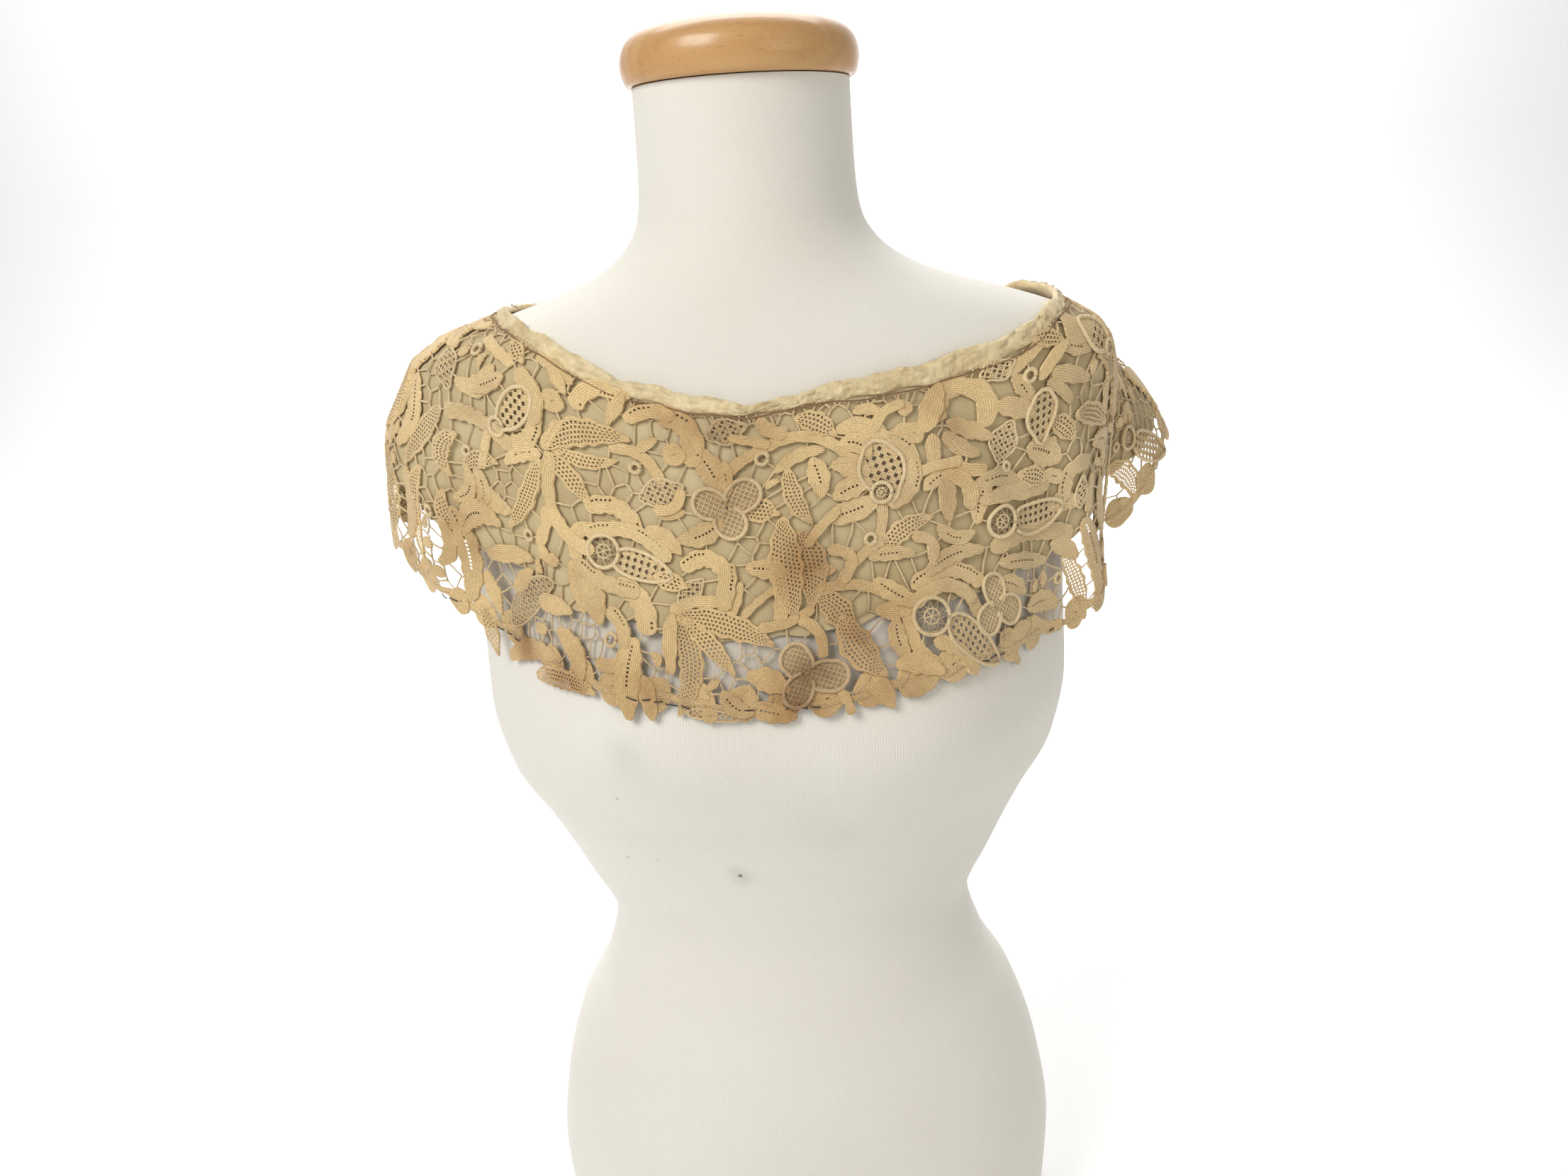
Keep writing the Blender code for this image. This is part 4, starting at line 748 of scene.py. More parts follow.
class Drape:
    """The capelet's inner face: a grid of points by azimuth round the body and distance down the cloth."""

    TURNS = 720
    STEP = 3 * MM
    DEPTH = 186 * MM

    def __init__(self):
        self.azimuths = -math.pi + FULL_TURN * np.arange(self.TURNS) / self.TURNS
        self.across = np.sin(self.azimuths)
        self.ahead = -np.cos(self.azimuths)
        self.points = self.smoothed(self.fall())
        middle = self.ring_at(CUT_MID)
        steps = np.linalg.norm(np.roll(middle, -1, 0) - middle, axis=1)
        self.reach = np.concatenate([[0], np.cumsum(steps)])
        self.total = self.reach[-1]
        self.reach_of_front = np.interp(0, self.turn_marks(), self.reach)
        self.press_creases()
        for _ in range(3):
            self.normals = self.measured_normals()
            room = clearance(*np.moveaxis(self.points, -1, 0))
            self.points = self.points + self.normals * np.maximum(CLOTH_GAP - room, 0)[..., None]

    def turn_marks(self):
        """Azimuths once round the body, with the one that closes the ring."""
        return np.append(self.azimuths, math.pi)

    def neckline(self):
        """Radius and height of the neck edge, which rests on the form or stands off it."""
        radius = ring_rows(NECK_MM, np.degrees(self.azimuths)) * MM
        x = CLOTH_CENTRE_X + radius * self.across
        y = CLOTH_CENTRE_Y + radius * self.ahead
        low = np.full(self.TURNS, NECK_LOWEST)
        high = np.full(self.TURNS, NECK_HIGHEST)
        for _ in range(40):
            middle = (low + high) / 2
            outside = clearance(x, y, middle) > CLOTH_GAP
            high = np.where(outside, middle, high)
            low = np.where(outside, low, middle)
        for azimuth, spread, height in STAND_OFFS:
            away = turn_between(self.azimuths, math.radians(azimuth))
            high = high + height * bell(away, math.radians(spread))
        return radius, high

    def wanted_slope(self, down):
        """How steeply the cloth would hang at this distance down it, with its flutes."""
        slope = np.full(self.TURNS, HANG)
        for azimuth, spread, lift, start, ramp in FLUTES:
            away = turn_between(self.azimuths, math.radians(azimuth))
            slope -= math.radians(lift) * bell(away, math.radians(spread)) * ease((down - start) / ramp)
        return slope

    def fall(self):
        """Step down the cloth. It hangs at its own slope, but never inside the form."""
        radius, height = self.neckline()
        rows = [(radius, height)]
        slope = None
        for k in range(1, int(round(self.DEPTH / self.STEP)) + 1):
            wanted = self.wanted_slope(k * self.STEP)
            if slope is None:
                slope = wanted
            else:
                most = self.STEP / BEND_RADIUS
                slope = slope + np.clip(wanted - slope, -most, most)
            slope = self.lifted_clear(radius, height, slope)
            radius = radius + self.STEP * np.cos(slope)
            height = height - self.STEP * np.sin(slope)
            rows.append((radius, height))
        return np.array(rows)

    def lifted_clear(self, radius, height, slope):
        """The slope, or a flatter one where the next step would run into the form."""
        def room(at):
            reach = radius + self.STEP * np.cos(at)
            x = CLOTH_CENTRE_X + reach * self.across
            y = CLOTH_CENTRE_Y + reach * self.ahead
            return clearance(x, y, height - self.STEP * np.sin(at)) - CLOTH_GAP
        blocked = room(slope) < 0
        low = slope - math.radians(100)
        high = slope
        for _ in range(24):
            middle = (low + high) / 2
            free = room(middle) >= 0
            low = np.where(free, middle, low)
            high = np.where(free, high, middle)
        return np.where(blocked, low, slope)

    def smoothed(self, rows):
        """Even out the grid with a narrow weighted mean both ways, which keeps folds and drops steps."""
        radius, height = rows[:, 0], rows[:, 1]
        for _ in range(SMOOTHINGS):
            radius = (np.roll(radius, 1, 1) + 2 * radius + np.roll(radius, -1, 1)) / 4
            height = (np.roll(height, 1, 1) + 2 * height + np.roll(height, -1, 1)) / 4
        x = CLOTH_CENTRE_X + radius * self.across
        y = CLOTH_CENTRE_Y + radius * self.ahead
        return np.stack([x, y, height], -1)

    def ring_at(self, down):
        """Points round the cloth at one distance down it."""
        place = down / self.STEP
        low = min(int(place), len(self.points) - 2)
        share = place - low
        return self.points[low] * (1 - share) + self.points[low + 1] * share

    def measured_normals(self):
        """Unit vectors out of the cloth, at each point of the grid."""
        down = np.gradient(self.points, axis=0)
        along = np.roll(self.points, -1, 1) - np.roll(self.points, 1, 1)
        normal = np.cross(along, down)
        normal /= np.linalg.norm(normal, axis=-1, keepdims=True)
        outward = np.stack([self.across, self.ahead, np.full(self.TURNS, 0.5)], -1)
        sign = np.sign(np.sum(normal * outward, -1, keepdims=True))
        return normal * sign

    def press_creases(self):
        """Raise the ridges out of the cloth, and sink the troughs where there is room under them."""
        normals = self.measured_normals()
        down = np.arange(len(self.points))[:, None] * self.STEP + np.zeros(self.TURNS)
        along = (self.reach[:-1] - self.reach_of_front)[None, :] + np.zeros(down.shape)
        ridge = np.zeros(down.shape)
        for row in CREASES_MM:
            from_along, from_down, to_along, to_down, width, height = (value * MM for value in row)
            way_along, way_down = to_along - from_along, to_down - from_down
            length = way_along ** 2 + way_down ** 2
            off_along = (along - from_along + self.total / 2) % self.total - self.total / 2
            share = np.clip((off_along * way_along + (down - from_down) * way_down) / length, 0, 1)
            gap_along = off_along - share * way_along
            gap_down = down - from_down - share * way_down
            ridge += height * bell(np.hypot(gap_along, gap_down), width)
        self.points = self.points + normals * np.maximum(ridge, 0)[..., None]
        sunk = normals * np.minimum(ridge, 0)[..., None]
        moved = self.points + sunk
        room = clearance(*np.moveaxis(moved, -1, 0)) > 2 * CLOTH_GAP
        self.points = np.where(room[..., None], moved, self.points)

    def along_of(self, azimuth):
        """Distance round the cloth from the front centre, positive towards +X."""
        return float(np.interp(azimuth, self.turn_marks(), self.reach)) - self.reach_of_front

    def azimuth_of(self, along):
        """Azimuth of a place along the cloth."""
        place = (np.asarray(along) + self.reach_of_front) % self.total
        return np.interp(place, self.reach, self.turn_marks())

    def at(self, along, down, lift):
        """Points on the draped cloth, moved out from its inner face by lift."""
        turn = (self.azimuth_of(along) + math.pi) / FULL_TURN * self.TURNS
        left = np.floor(turn).astype(int)
        share = (turn - left)[..., None]
        left, right = left % self.TURNS, (left + 1) % self.TURNS
        depth = np.clip(np.asarray(down) / self.STEP, 0, len(self.points) - 1.001)
        top = depth.astype(int)
        fall = (depth - top)[..., None]

        def blend(grid):
            upper = grid[top, left] * (1 - share) + grid[top, right] * share
            lower = grid[top + 1, left] * (1 - share) + grid[top + 1, right] * share
            return upper * (1 - fall) + lower * fall
        normal = blend(self.normals)
        normal /= np.linalg.norm(normal, axis=-1, keepdims=True)
        return blend(self.points) + normal * np.asarray(lift)[..., None]


class Panel:
    """One cut piece of the ring, laid flat about its own middle."""

    def __init__(self, drape, first, last, middle):
        self.drape = drape
        self.first = first
        self.last = last
        self.middle = middle

    def flat(self, along, down):
        """Flat place of a point on the cloth, with the panel's middle pointing along -Y."""
        turn = (np.asarray(along, float) - self.middle) / (CUT_INNER + CUT_MID)
        radius = CUT_INNER + np.asarray(down, float)
        return np.stack([radius * np.sin(turn), -radius * np.cos(turn)], -1)

    def spot(self, along, down):
        """Flat place of a point of the design, given in millimetres from the panel's middle."""
        return self.flat(along * MM + self.middle, down * MM)

    def cloth(self, flat):
        """Distance round the cloth and down it, for places in the flat."""
        turn = np.arctan2(flat[..., 0], -flat[..., 1])
        down = np.hypot(flat[..., 0], flat[..., 1]) - CUT_INNER
        return turn * (CUT_INNER + CUT_MID) + self.middle, down

    def solid_points(self, flat, lift):
        """Points on the drape for places in the flat, moved out by lift."""
        along, down = self.cloth(flat)
        return self.drape.at(along, down, lift)

    def binding_width(self, along):
        """Width of the binding at places along the cloth."""
        return ring_rows(NECK_MM, np.degrees(self.drape.azimuth_of(along)), 2) * MM

    def hem(self, along):
        """Depth of the plain hem line at places along the cloth."""
        return ring_rows(HEM_MM, np.degrees(self.drape.azimuth_of(along))) * MM


# Lace design

def left_of(way):
    """Unit vector to the left of a way in the flat."""
    return np.array([-way[1], way[0]]) / max(float(np.hypot(*way)), 1e-9)


def circle(count, start=0.0):
    """Points spaced evenly round a circle of radius 1."""
    turns = FULL_TURN * np.arange(count) / count + start
    return np.stack([np.cos(turns), np.sin(turns)], -1)


def arc_points(start, end, bow, count):
    """Points on a bowed line, with the bow to the left of the way it runs."""
    start, end = np.array(start, float), np.array(end, float)
    way = end - start
    t = np.linspace(0, 1, count)[:, None]
    return start + way * t + left_of(way) * bow * 4 * t * (1 - t)


def patch_discs(kind, start, end, bow, half_width):
    """A worked patch as a row of discs. Leaves taper, net bodies are blunt and tapes keep their width."""
    length = float(np.hypot(end[0] - start[0], end[1] - start[1])) + 2 * abs(bow)
    if length < MM:
        return [(start[0], start[1], half_width)]
    count = max(3, int(length / (0.6 * half_width)) + 2)
    points = arc_points(start, end, bow, count)
    t = np.linspace(0, 1, count)
    low, high = TAPERS.get(kind, (0.5, 0.5))
    widths = half_width * np.sin(math.pi * (low + (high - low) * t))
    return [(x, y, w) for (x, y), w in zip(points, widths)]


def design_of(panel, rows):
    """Every worked patch of a panel as discs in its flat plane: x, y and radius."""
    discs = []
    for kind, from_along, from_down, to_along, to_down, bow, half_width in rows:
        start = panel.spot(from_along, from_down)
        end = panel.spot(to_along, to_down)
        discs += patch_discs(kind, start, end, bow * MM, half_width * MM)
    return np.array(discs)


def mirrored(rows):
    """The same motifs, left for right."""
    return [(kind, -a, b, -c, d, -bow, w) for kind, a, b, c, d, bow, w in rows]


def fitted_rows(panel, rows):
    """The rows that start or end above the hem, with the straight leaves out at the shoulders bent."""
    fitted = []
    for number, row in enumerate(rows):
        kind, from_along, from_down, to_along, to_down, bow, half_width = row
        start_room = float(panel.hem(from_along * MM + panel.middle)) - from_down * MM
        end_room = float(panel.hem(to_along * MM + panel.middle)) - to_down * MM
        if max(start_room, end_room) < 0:
            continue
        if kind == "leaf" and abs(from_along) > SHOULDER_ALONG and abs(bow) < SHOULDER_STRAIGHT:
            bow = SHOULDER_BOW * (1 if number % 2 else -1)
            kind = "ladder" if number % 3 == 0 else kind
            half_width = SHOULDER_FULLNESS * half_width
        fitted.append((kind, from_along, from_down, to_along, to_down, bow, half_width))
    return fitted


def rounds_of(panel, rows, kind):
    """Centres and radii of a panel's round motifs of one kind."""
    return [(panel.spot(row[1], row[2]), row[6] * MM) for row in rows if row[0] == kind]


def work_distance(design, points):
    """How far each flat point lies outside the nearest worked patch, negative inside."""
    points = np.asarray(points, float)
    nearest = np.full(len(points), 1.0)
    for x, y, radius in design:
        gaps = np.hypot(points[:, 0] - x, points[:, 1] - y) - radius
        nearest = np.minimum(nearest, gaps)
    return nearest


def inside(polygon, points):
    """True where a point lies inside a closed line."""
    x, y = points[:, 0], points[:, 1]
    within = np.zeros(len(points), bool)
    previous = polygon[-1]
    for corner in polygon:
        crosses = (corner[1] > y) != (previous[1] > y)
        rise = previous[1] - corner[1]
        rise = rise if abs(rise) > 1e-15 else 1e-15
        at = (previous[0] - corner[0]) * (y - corner[1]) / rise + corner[0]
        within ^= crosses & (x < at)
        previous = corner
    return within


def outside(points, rounds, reach=0.0):
    """True where a point lies clear of every round motif."""
    clear = np.ones(len(points), bool)
    for centre, radius in rounds:
        clear &= np.hypot(*(points - centre).T) > radius + reach
    return clear


def stretches(flags):
    """First and last places of each unbroken run of true flags."""
    runs, first = [], None
    for k, flag in enumerate(flags):
        if flag and first is None:
            first = k
        if not flag and first is not None:
            runs.append((first, k))
            first = None
    if first is not None:
        runs.append((first, len(flags)))
    return runs


# Building blocks

class Stock:
    """Points and faces of one piece while it is being worked in the flat."""

    def __init__(self):
        self.flat, self.lift, self.uv, self.faces, self.tone = [], [], [], [], []
        self.count = 0

    def add(self, flat, lift, uv, faces, tone=0.5):
        self.flat.append(np.asarray(flat, float).reshape(-1, 2))
        self.lift.append(np.asarray(lift, float).reshape(-1))
        self.tone.append(np.broadcast_to(np.asarray(tone, float), self.lift[-1].shape))
        self.uv.append(np.asarray(uv, float).reshape(-1, 2))
        self.faces += [tuple(k + self.count for k in face) for face in faces]
        self.count += len(self.lift[-1])

    def laid(self, name, panel, finish, slot):
        """Lay the stock on the drape as one mesh, with its stitch map and its age marks."""
        flat = np.concatenate(self.flat)
        points = panel.solid_points(flat, np.concatenate(self.lift))
        along, down = panel.cloth(flat)
        marks = {"brown": mark_strength(panel, along, down, BROWN_MARKS),
                 "pale": mark_strength(panel, along, down, PALE_MARKS),
                 "tone": np.concatenate(self.tone)}
        return mesh_piece(name, points, self.faces, np.concatenate(self.uv), marks, finish)


def mark_strength(panel, along, down, marks):
    """Sum of the soft marks at each place on the cloth. The back repeats the front's marks, mirrored."""
    side = 1 if panel.middle == 0 else -1
    away = side * (along - panel.middle)
    total = np.zeros(len(away))
    for mark_along, mark_down, reach, strength in marks:
        gap = np.hypot(away / MM - mark_along, down / MM - mark_down)
        total += strength * np.exp(-(gap / reach) ** 2)
    return np.clip(total, 0, 1)


def placed(name, data):
    """Put a new object into the scene."""
    item = bpy.data.objects.new(name, data)
    bpy.context.collection.objects.link(item)
    return item


def mesh_piece(name, points, faces, uv, marks, finish):
    """A smooth mesh with its stitch map and painted marks, declared as one piece of the part."""
    data = bpy.data.meshes.new(name)
    data.from_pydata([tuple(point) for point in points], [], faces)
    layer = data.uv_layers.new(name="stitches")
    corners = np.empty(len(data.loops), int)
    data.loops.foreach_get("vertex_index", corners)
    layer.data.foreach_set("uv", np.asarray(uv, float)[corners].ravel())
    for label, values in marks.items():
        attribute = data.attributes.new(label, "FLOAT", "POINT")
        attribute.data.foreach_set("value", np.asarray(values, float))
    data.validate()
    piece = placed(name, data)
    data.materials.append(finish)
    data.shade_smooth()
    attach(piece, "root")
    return piece


def weld(piece):
    """Join the points where a turned mesh meets itself, and shade it smooth."""
    mesh = bmesh.new()
    mesh.from_mesh(piece.data)
    bmesh.ops.remove_doubles(mesh, verts=mesh.verts, dist=1e-6)
    bmesh.ops.recalc_face_normals(mesh, faces=mesh.faces)
    mesh.to_mesh(piece.data)
    mesh.free()
    piece.data.shade_smooth()


def grid_faces(rows, columns, skip=None):
    """Faces of a grid of points, without the cells marked in skip."""
    faces = []
    for i in range(rows - 1):
        for j in range(columns - 1):
            if skip is not None and skip[i][j]:
                continue
            a = i * columns + j
            faces.append((a, a + 1, a + columns + 1, a + columns))
    return faces


def run_along(points):
    """Length of a line up to each of its points."""
    steps = np.hypot(*np.diff(points, axis=0).T)
    return np.concatenate([[0], np.cumsum(steps)])


def sides_of(points, closed=False):
    """Unit vector to the left of a line in the flat, at each of its points."""
    if closed:
        way = np.roll(points, -1, 0) - np.roll(points, 1, 0)
    else:
        way = np.gradient(points, axis=0)
    way = way / np.maximum(np.hypot(way[:, 0], way[:, 1]), 1e-9)[:, None]
    return np.stack([-way[:, 1], way[:, 0]], -1)


def band(points, across):
    """Flat points of a band, each row of it laid across its centre line, and their stitch map."""
    flat = points[:, None, :] + sides_of(points)[:, None, :] * across[..., None]
    reach = np.repeat(run_along(points)[:, None], across.shape[1], 1)
    return flat, np.stack([reach, across], -1) / MM


def cord(stock, points, lift, radius, sides=6, closed=False):
    """A round thread along a line in the flat, at the given lift."""
    points = np.asarray(points, float)
    count = len(points)
    lift = np.broadcast_to(np.asarray(lift, float), (count,))
    turns = FULL_TURN * np.arange(sides) / sides
    across = np.cos(turns) * radius
    up = np.sin(turns) * radius
    flat = points[:, None, :] + sides_of(points, closed)[:, None, :] * across[None, :, None]
    heights = lift[:, None] + up[None, :]
    reach = np.repeat(run_along(points)[:, None], sides, 1)
    uv = np.stack([reach, np.repeat(turns[None, :] * radius, count, 0)], -1) / MM
    faces = []
    last = count if closed else count - 1
    for i in range(last):
        after = (i + 1) % count
        for j in range(sides):
            k = (j + 1) % sides
            faces.append((i * sides + j, after * sides + j, after * sides + k, i * sides + k))
    if not closed:
        faces.append(tuple(range(sides)))
        faces.append(tuple((count - 1) * sides + j for j in range(sides))[::-1])
    stock.add(flat, heights, uv, faces)


# Worked motifs

def patch_line(kind, start, end, bow, half_width, row_pitch):
    """Centre line and half widths of a worked patch, with rounded ends."""
    way = end - start
    length = float(np.hypot(*way)) + 1.2 * abs(bow)
    reach = 0.55 * half_width
    rows = max(6, int(round((length + 2 * reach) / row_pitch)))
    rows += rows % 2
    t = np.linspace(-reach / length, 1 + reach / length, rows + 1)
    points = start + way * t[:, None] + left_of(way) * bow * (4 * t * (1 - t))[:, None]
    low, high = TAPERS.get(kind, (0.5, 0.5))
    inner = np.clip(t, 0, 1)
    shape = np.sin(math.pi * (low + (high - low) * inner))
    if kind == "leaf":
        shape = 0.3 + 0.7 * shape
    widths = half_width * FULLNESS.get(kind, 1.0) * shape
    ends = np.minimum(t - t[0], t[-1] - t) * length / (half_width * (1.0 if kind == "ladder" else 1.15))
    widths = widths * np.sqrt(np.clip(1 - (1 - np.clip(ends, 0, 1)) ** 2, 0.0004, 1))
    return points, widths


def patch_section(kind, half_width):
    """Shares of the half width across a patch, and the height of each over its edge."""
    if kind != "ladder":
        return np.array(PATCH_SECTION).T
    lanes = 2 * max(2, int(round(half_width / (1.25 * MM)))) + 1
    shares = np.concatenate([[-1, -0.97], np.linspace(-0.86, 0.86, lanes + 1), [0.97, 1]])
    heights = np.concatenate([[0, 1.0], np.full(lanes + 1, 0.86), [1.0, 0]])
    return shares, heights


def patch_openings(kind, widths, columns, open_middle):
    """Cells left open: staggered lanes in openwork leaves, and a broken row in some leaves and tapes."""
    rows = len(widths)
    skip = np.zeros((rows - 1, columns - 1), bool)
    if kind != "ladder" and not open_middle:
        return skip
    wide = np.minimum(widths[:-1], widths[1:]) > OPEN_FROM[kind]
    for i in range(2, rows - 3):
        if kind == "ladder":
            for j in range(3, columns - 3, 2):
                skip[i][j] = wide[i] and (i + (j // 2)) % 2 == 0
        elif kind == "leaf":
            skip[i][4] = wide[i] and i % 2 == 0 and i < 0.6 * rows
        else:
            skip[i][6] = wide[i] and i % 2 == 0 and (i // 14) % 2 == 0
    return skip


def patch_tones(heights, rows, shake):
    """One tone for a whole patch, lighter on its raised edge."""
    return np.repeat((shake.uniform(0.25, 0.7) + 0.3 * (heights >= 1))[None, :], rows, 0).ravel()


def worked_patch(stock, kind, start, end, bow, half_width, tier, shake):
    """A close-worked patch: lengthwise rows, a firm raised edge, and openings where its kind has them."""
    points, widths = patch_line(kind, start, end, bow, half_width, STITCH_PITCH)
    rows = len(points)
    shares, heights = patch_section(kind, half_width)
    wobble = 1 + 0.085 * np.sin(np.arange(rows) * shake.uniform(0.5, 1.1) + shake.uniform(0, 6))
    flat, uv = band(points, shares[None, :] * (widths * wobble)[:, None])
    rise = np.clip(widths / (1.2 * MM), 0.1, 1)[:, None] * heights[None, :] * PATCH_RISE
    lift = PATCH_LIFT + tier * (heights > 0)[None, :] + rise
    skip = patch_openings(kind, widths, len(shares), shake.uniform() < 0.5)
    tone = patch_tones(heights, rows, shake)
    stock.add(flat, lift, uv, grid_faces(rows, len(shares), skip), tone)


def worked_round(stock, centre, radius, tier, shake):
    """A small round patch with straight rows and a firm edge."""
    radius = radius * FULLNESS["round"]
    rings, heights = np.array(ROUND_SECTION).T
    sides = 24
    turns = FULL_TURN * np.arange(sides + 1) / sides
    three_waves = 0.05 * np.sin(3 * turns + shake.uniform(0, 6))
    five_waves = 0.03 * np.sin(5 * turns + shake.uniform(0, 6))
    ripple = 1 + three_waves + five_waves
    spread = rings[None, :] * radius * ripple[:, None]
    out = np.stack([np.cos(turns)[:, None] * spread, np.sin(turns)[:, None] * spread], -1)
    lift = np.repeat((PATCH_LIFT + tier * (heights > 0) + heights * PATCH_RISE)[None, :], len(turns), 0)
    lean = shake.uniform(-0.6, 0.6)
    along = out[..., 0] * math.cos(lean) + out[..., 1] * math.sin(lean)
    across = out[..., 1] * math.cos(lean) - out[..., 0] * math.sin(lean)
    faces = grid_faces(len(turns), len(rings))
    faces.append(tuple(k * len(rings) for k in range(sides))[::-1])
    tone = patch_tones(heights, len(turns), shake)
    stock.add(centre + out, lift, np.stack([along, across], -1) / MM, faces, tone)


def clover_middle(centre, lobes):
    """Middle of the clover that a lobe belongs to, or the lobe's own centre where it stands alone."""
    near = [other for other, _ in lobes if np.hypot(*(other - centre)) < CLOVER_REACH]
    return np.mean(near, axis=0)


def lobe_border(centre, radius, middle):
    """Outline of one lobe, drawn out to the clover's middle."""
    out = circle(40)
    inward = middle - centre
    reach = float(np.hypot(*inward))
    if reach < MM:
        return centre + radius * out
    facing = np.clip(out @ (inward / reach), 0, 1) ** 2.5
    return centre + out * (radius + facing * max(reach - radius, 0) * 1.05)[:, None]


def border_of(kind, start, end, bow, half_width):
    """Outline of a netted body in the flat, as a closed line."""
    points, widths = patch_line(kind, start, end, bow, half_width, 1.8 * MM)
    side = sides_of(points)
    left = points + side * widths[:, None]
    right = points - side * widths[:, None]
    return np.concatenate([left, right[::-1]])


def border_cord(cords, border, rounds, lift, radius, sides):
    """The raised cord round a filling, left out where it would cross a neighbouring round motif."""
    clear = outside(border, rounds, -0.6 * MM)
    if clear.all():
        cord(cords, border, lift, radius, sides=sides, closed=True)
        return
    turn = int(np.argmin(clear))
    border, clear = np.roll(border, -turn, 0), np.roll(clear, -turn)
    for first, last in stretches(clear):
        if last - first > 2:
            cord(cords, border[first:last], lift, radius, sides=sides)


def lattice(stock, checks, border, rounds, way, pitch, radius, check_side, every):
    """Crossed threads filling a border, with a darned check in some of the openings."""
    middle = border.mean(axis=0)
    reach = float(np.hypot(*(border - middle).T).max())
    way = way / max(float(np.hypot(*way)), 1e-9)
    diagonals = [np.array([way[0] - s * way[1], way[1] + s * way[0]]) / math.sqrt(2) for s in (-1, 1)]
    number = int(reach / pitch) + 1
    for s, run in enumerate(diagonals):
        cross = np.array([-run[1], run[0]])
        for k in range(-number, number + 1):
            base = middle + cross * pitch * k
            steps = np.arange(-reach, reach, pitch / 2)
            line = base + run[None, :] * steps[:, None]
            within = inside(border, line) & outside(line, rounds)
            for first, last in stretches(within):
                if last - first < 2:
                    continue
                lift = LATTICE_LIFT + 0.3 * MM * ((np.arange(first, last) + s) % 2)
                cord(stock, line[first:last], lift, radius, sides=5)
    a, b = diagonals
    for i in range(-number, number + 1):
        for j in range(-number, number + 1):
            if (i + j) % every:
                continue
            spot = middle + a * pitch * (i + 0.5) + b * pitch * (j + 0.5)
            if (inside(border, spot[None, :]) & outside(spot[None, :], rounds))[0]:
                darned_check(checks, spot, middle, check_side * a, check_side * b)


def darned_check(stock, spot, middle, a, b):
    """A low four-sided point of darning in one opening, with its middle raised."""
    corners = [spot + (u * a + v * b) for u, v in ((-1, -1), (1, -1), (1, 1), (-1, 1))]
    flat = np.array(corners + [spot])
    lift = np.array([LATTICE_LIFT] * 4 + [LATTICE_LIFT + 0.8 * MM])
    stock.add(flat, lift, (flat - middle) / MM, [(0, 1, 4), (1, 2, 4), (2, 3, 4), (3, 0, 4)], 0.6)


def filled_motif(stocks, kind, start, end, bow, size, lobes, wheels):
    """A clover lobe, a tulip's body or a netted patch: crossed threads inside a raised cord."""
    pitch, thread, check, every, cord_lift, cord_radius = FILLINGS[kind]
    if kind == "lobe":
        middle = clover_middle(start, lobes)
        border = lobe_border(start, size, middle)
        way = np.array(LOBE_WAY)
        near = [other for other in lobes if np.hypot(*(other[0] - start)) > MM]
        near.append((middle, 0.35 * float(np.hypot(*(middle - start)))))
    else:
        border = border_of(kind, start, end, bow, size)
        way = end - start
        near = wheels
    threads, checks = stocks["threads"], stocks["patches"]
    lattice(threads, checks, border, wheels, way, pitch * MM, thread * MM, check * MM, every)
    sides = 6 if kind == "net" else 8
    border_cord(stocks["cords"], border, near, cord_lift * MM, cord_radius * MM, sides)


def wheel(threads, cords, centre, radius, shake):
    """A ring with a star of crossed spokes and a small rosette in its middle."""
    cord(cords, centre + (radius - 0.6 * MM) * circle(28), CORD_LIFT, CORD_RADIUS, sides=8, closed=True)
    points = 2 * int(round(radius / MM + 1))
    star = np.where(np.arange(points) % 2 == 0, 0.42, 0.86)[:, None] * radius
    zigzag = centre + star * circle(points, shake.uniform(0, 1))
    cord(threads, zigzag, LATTICE_LIFT + 0.2 * MM, 1.2 * THREAD_RADIUS, sides=5, closed=True)
    rosette = centre + 0.4 * radius * circle(12)
    cord(threads, rosette, LATTICE_LIFT + 0.3 * MM, 1.3 * THREAD_RADIUS, sides=5, closed=True)
    for k in range(3):
        turn = math.pi * k / 3 + 0.2
        way = 0.4 * radius * np.array([math.cos(turn), math.sin(turn)])
        cord(threads, [centre - way, centre, centre + way], LATTICE_LIFT + 0.4 * MM, THREAD_RADIUS, sides=5)


def open_ring(cords, centre, radius):
    """A plain corded ring, left open."""
    ring = centre + (radius - 1.1 * MM) * circle(20)
    cord(cords, ring, CORD_LIFT - 0.6 * MM, CORD_RADIUS, sides=8, closed=True)


# Net of bars

def net_ground(panel):
    """Where the net's middles and its bars may lie."""

    def middles(points):
        along, down = panel.cloth(points)
        within = (along > panel.first + 3 * MM) & (along < panel.last - 3 * MM)
        within &= down < panel.hem(along) - 6 * MM
        return within & (down > panel.binding_width(along) + 3 * MM)

    def bars(points):
        along, down = panel.cloth(points)
        within = (along > panel.first) & (along < panel.last) & (down < panel.hem(along) - 3 * MM)
        return within & (down > panel.binding_width(along) - 0.5 * MM)
    return middles, bars


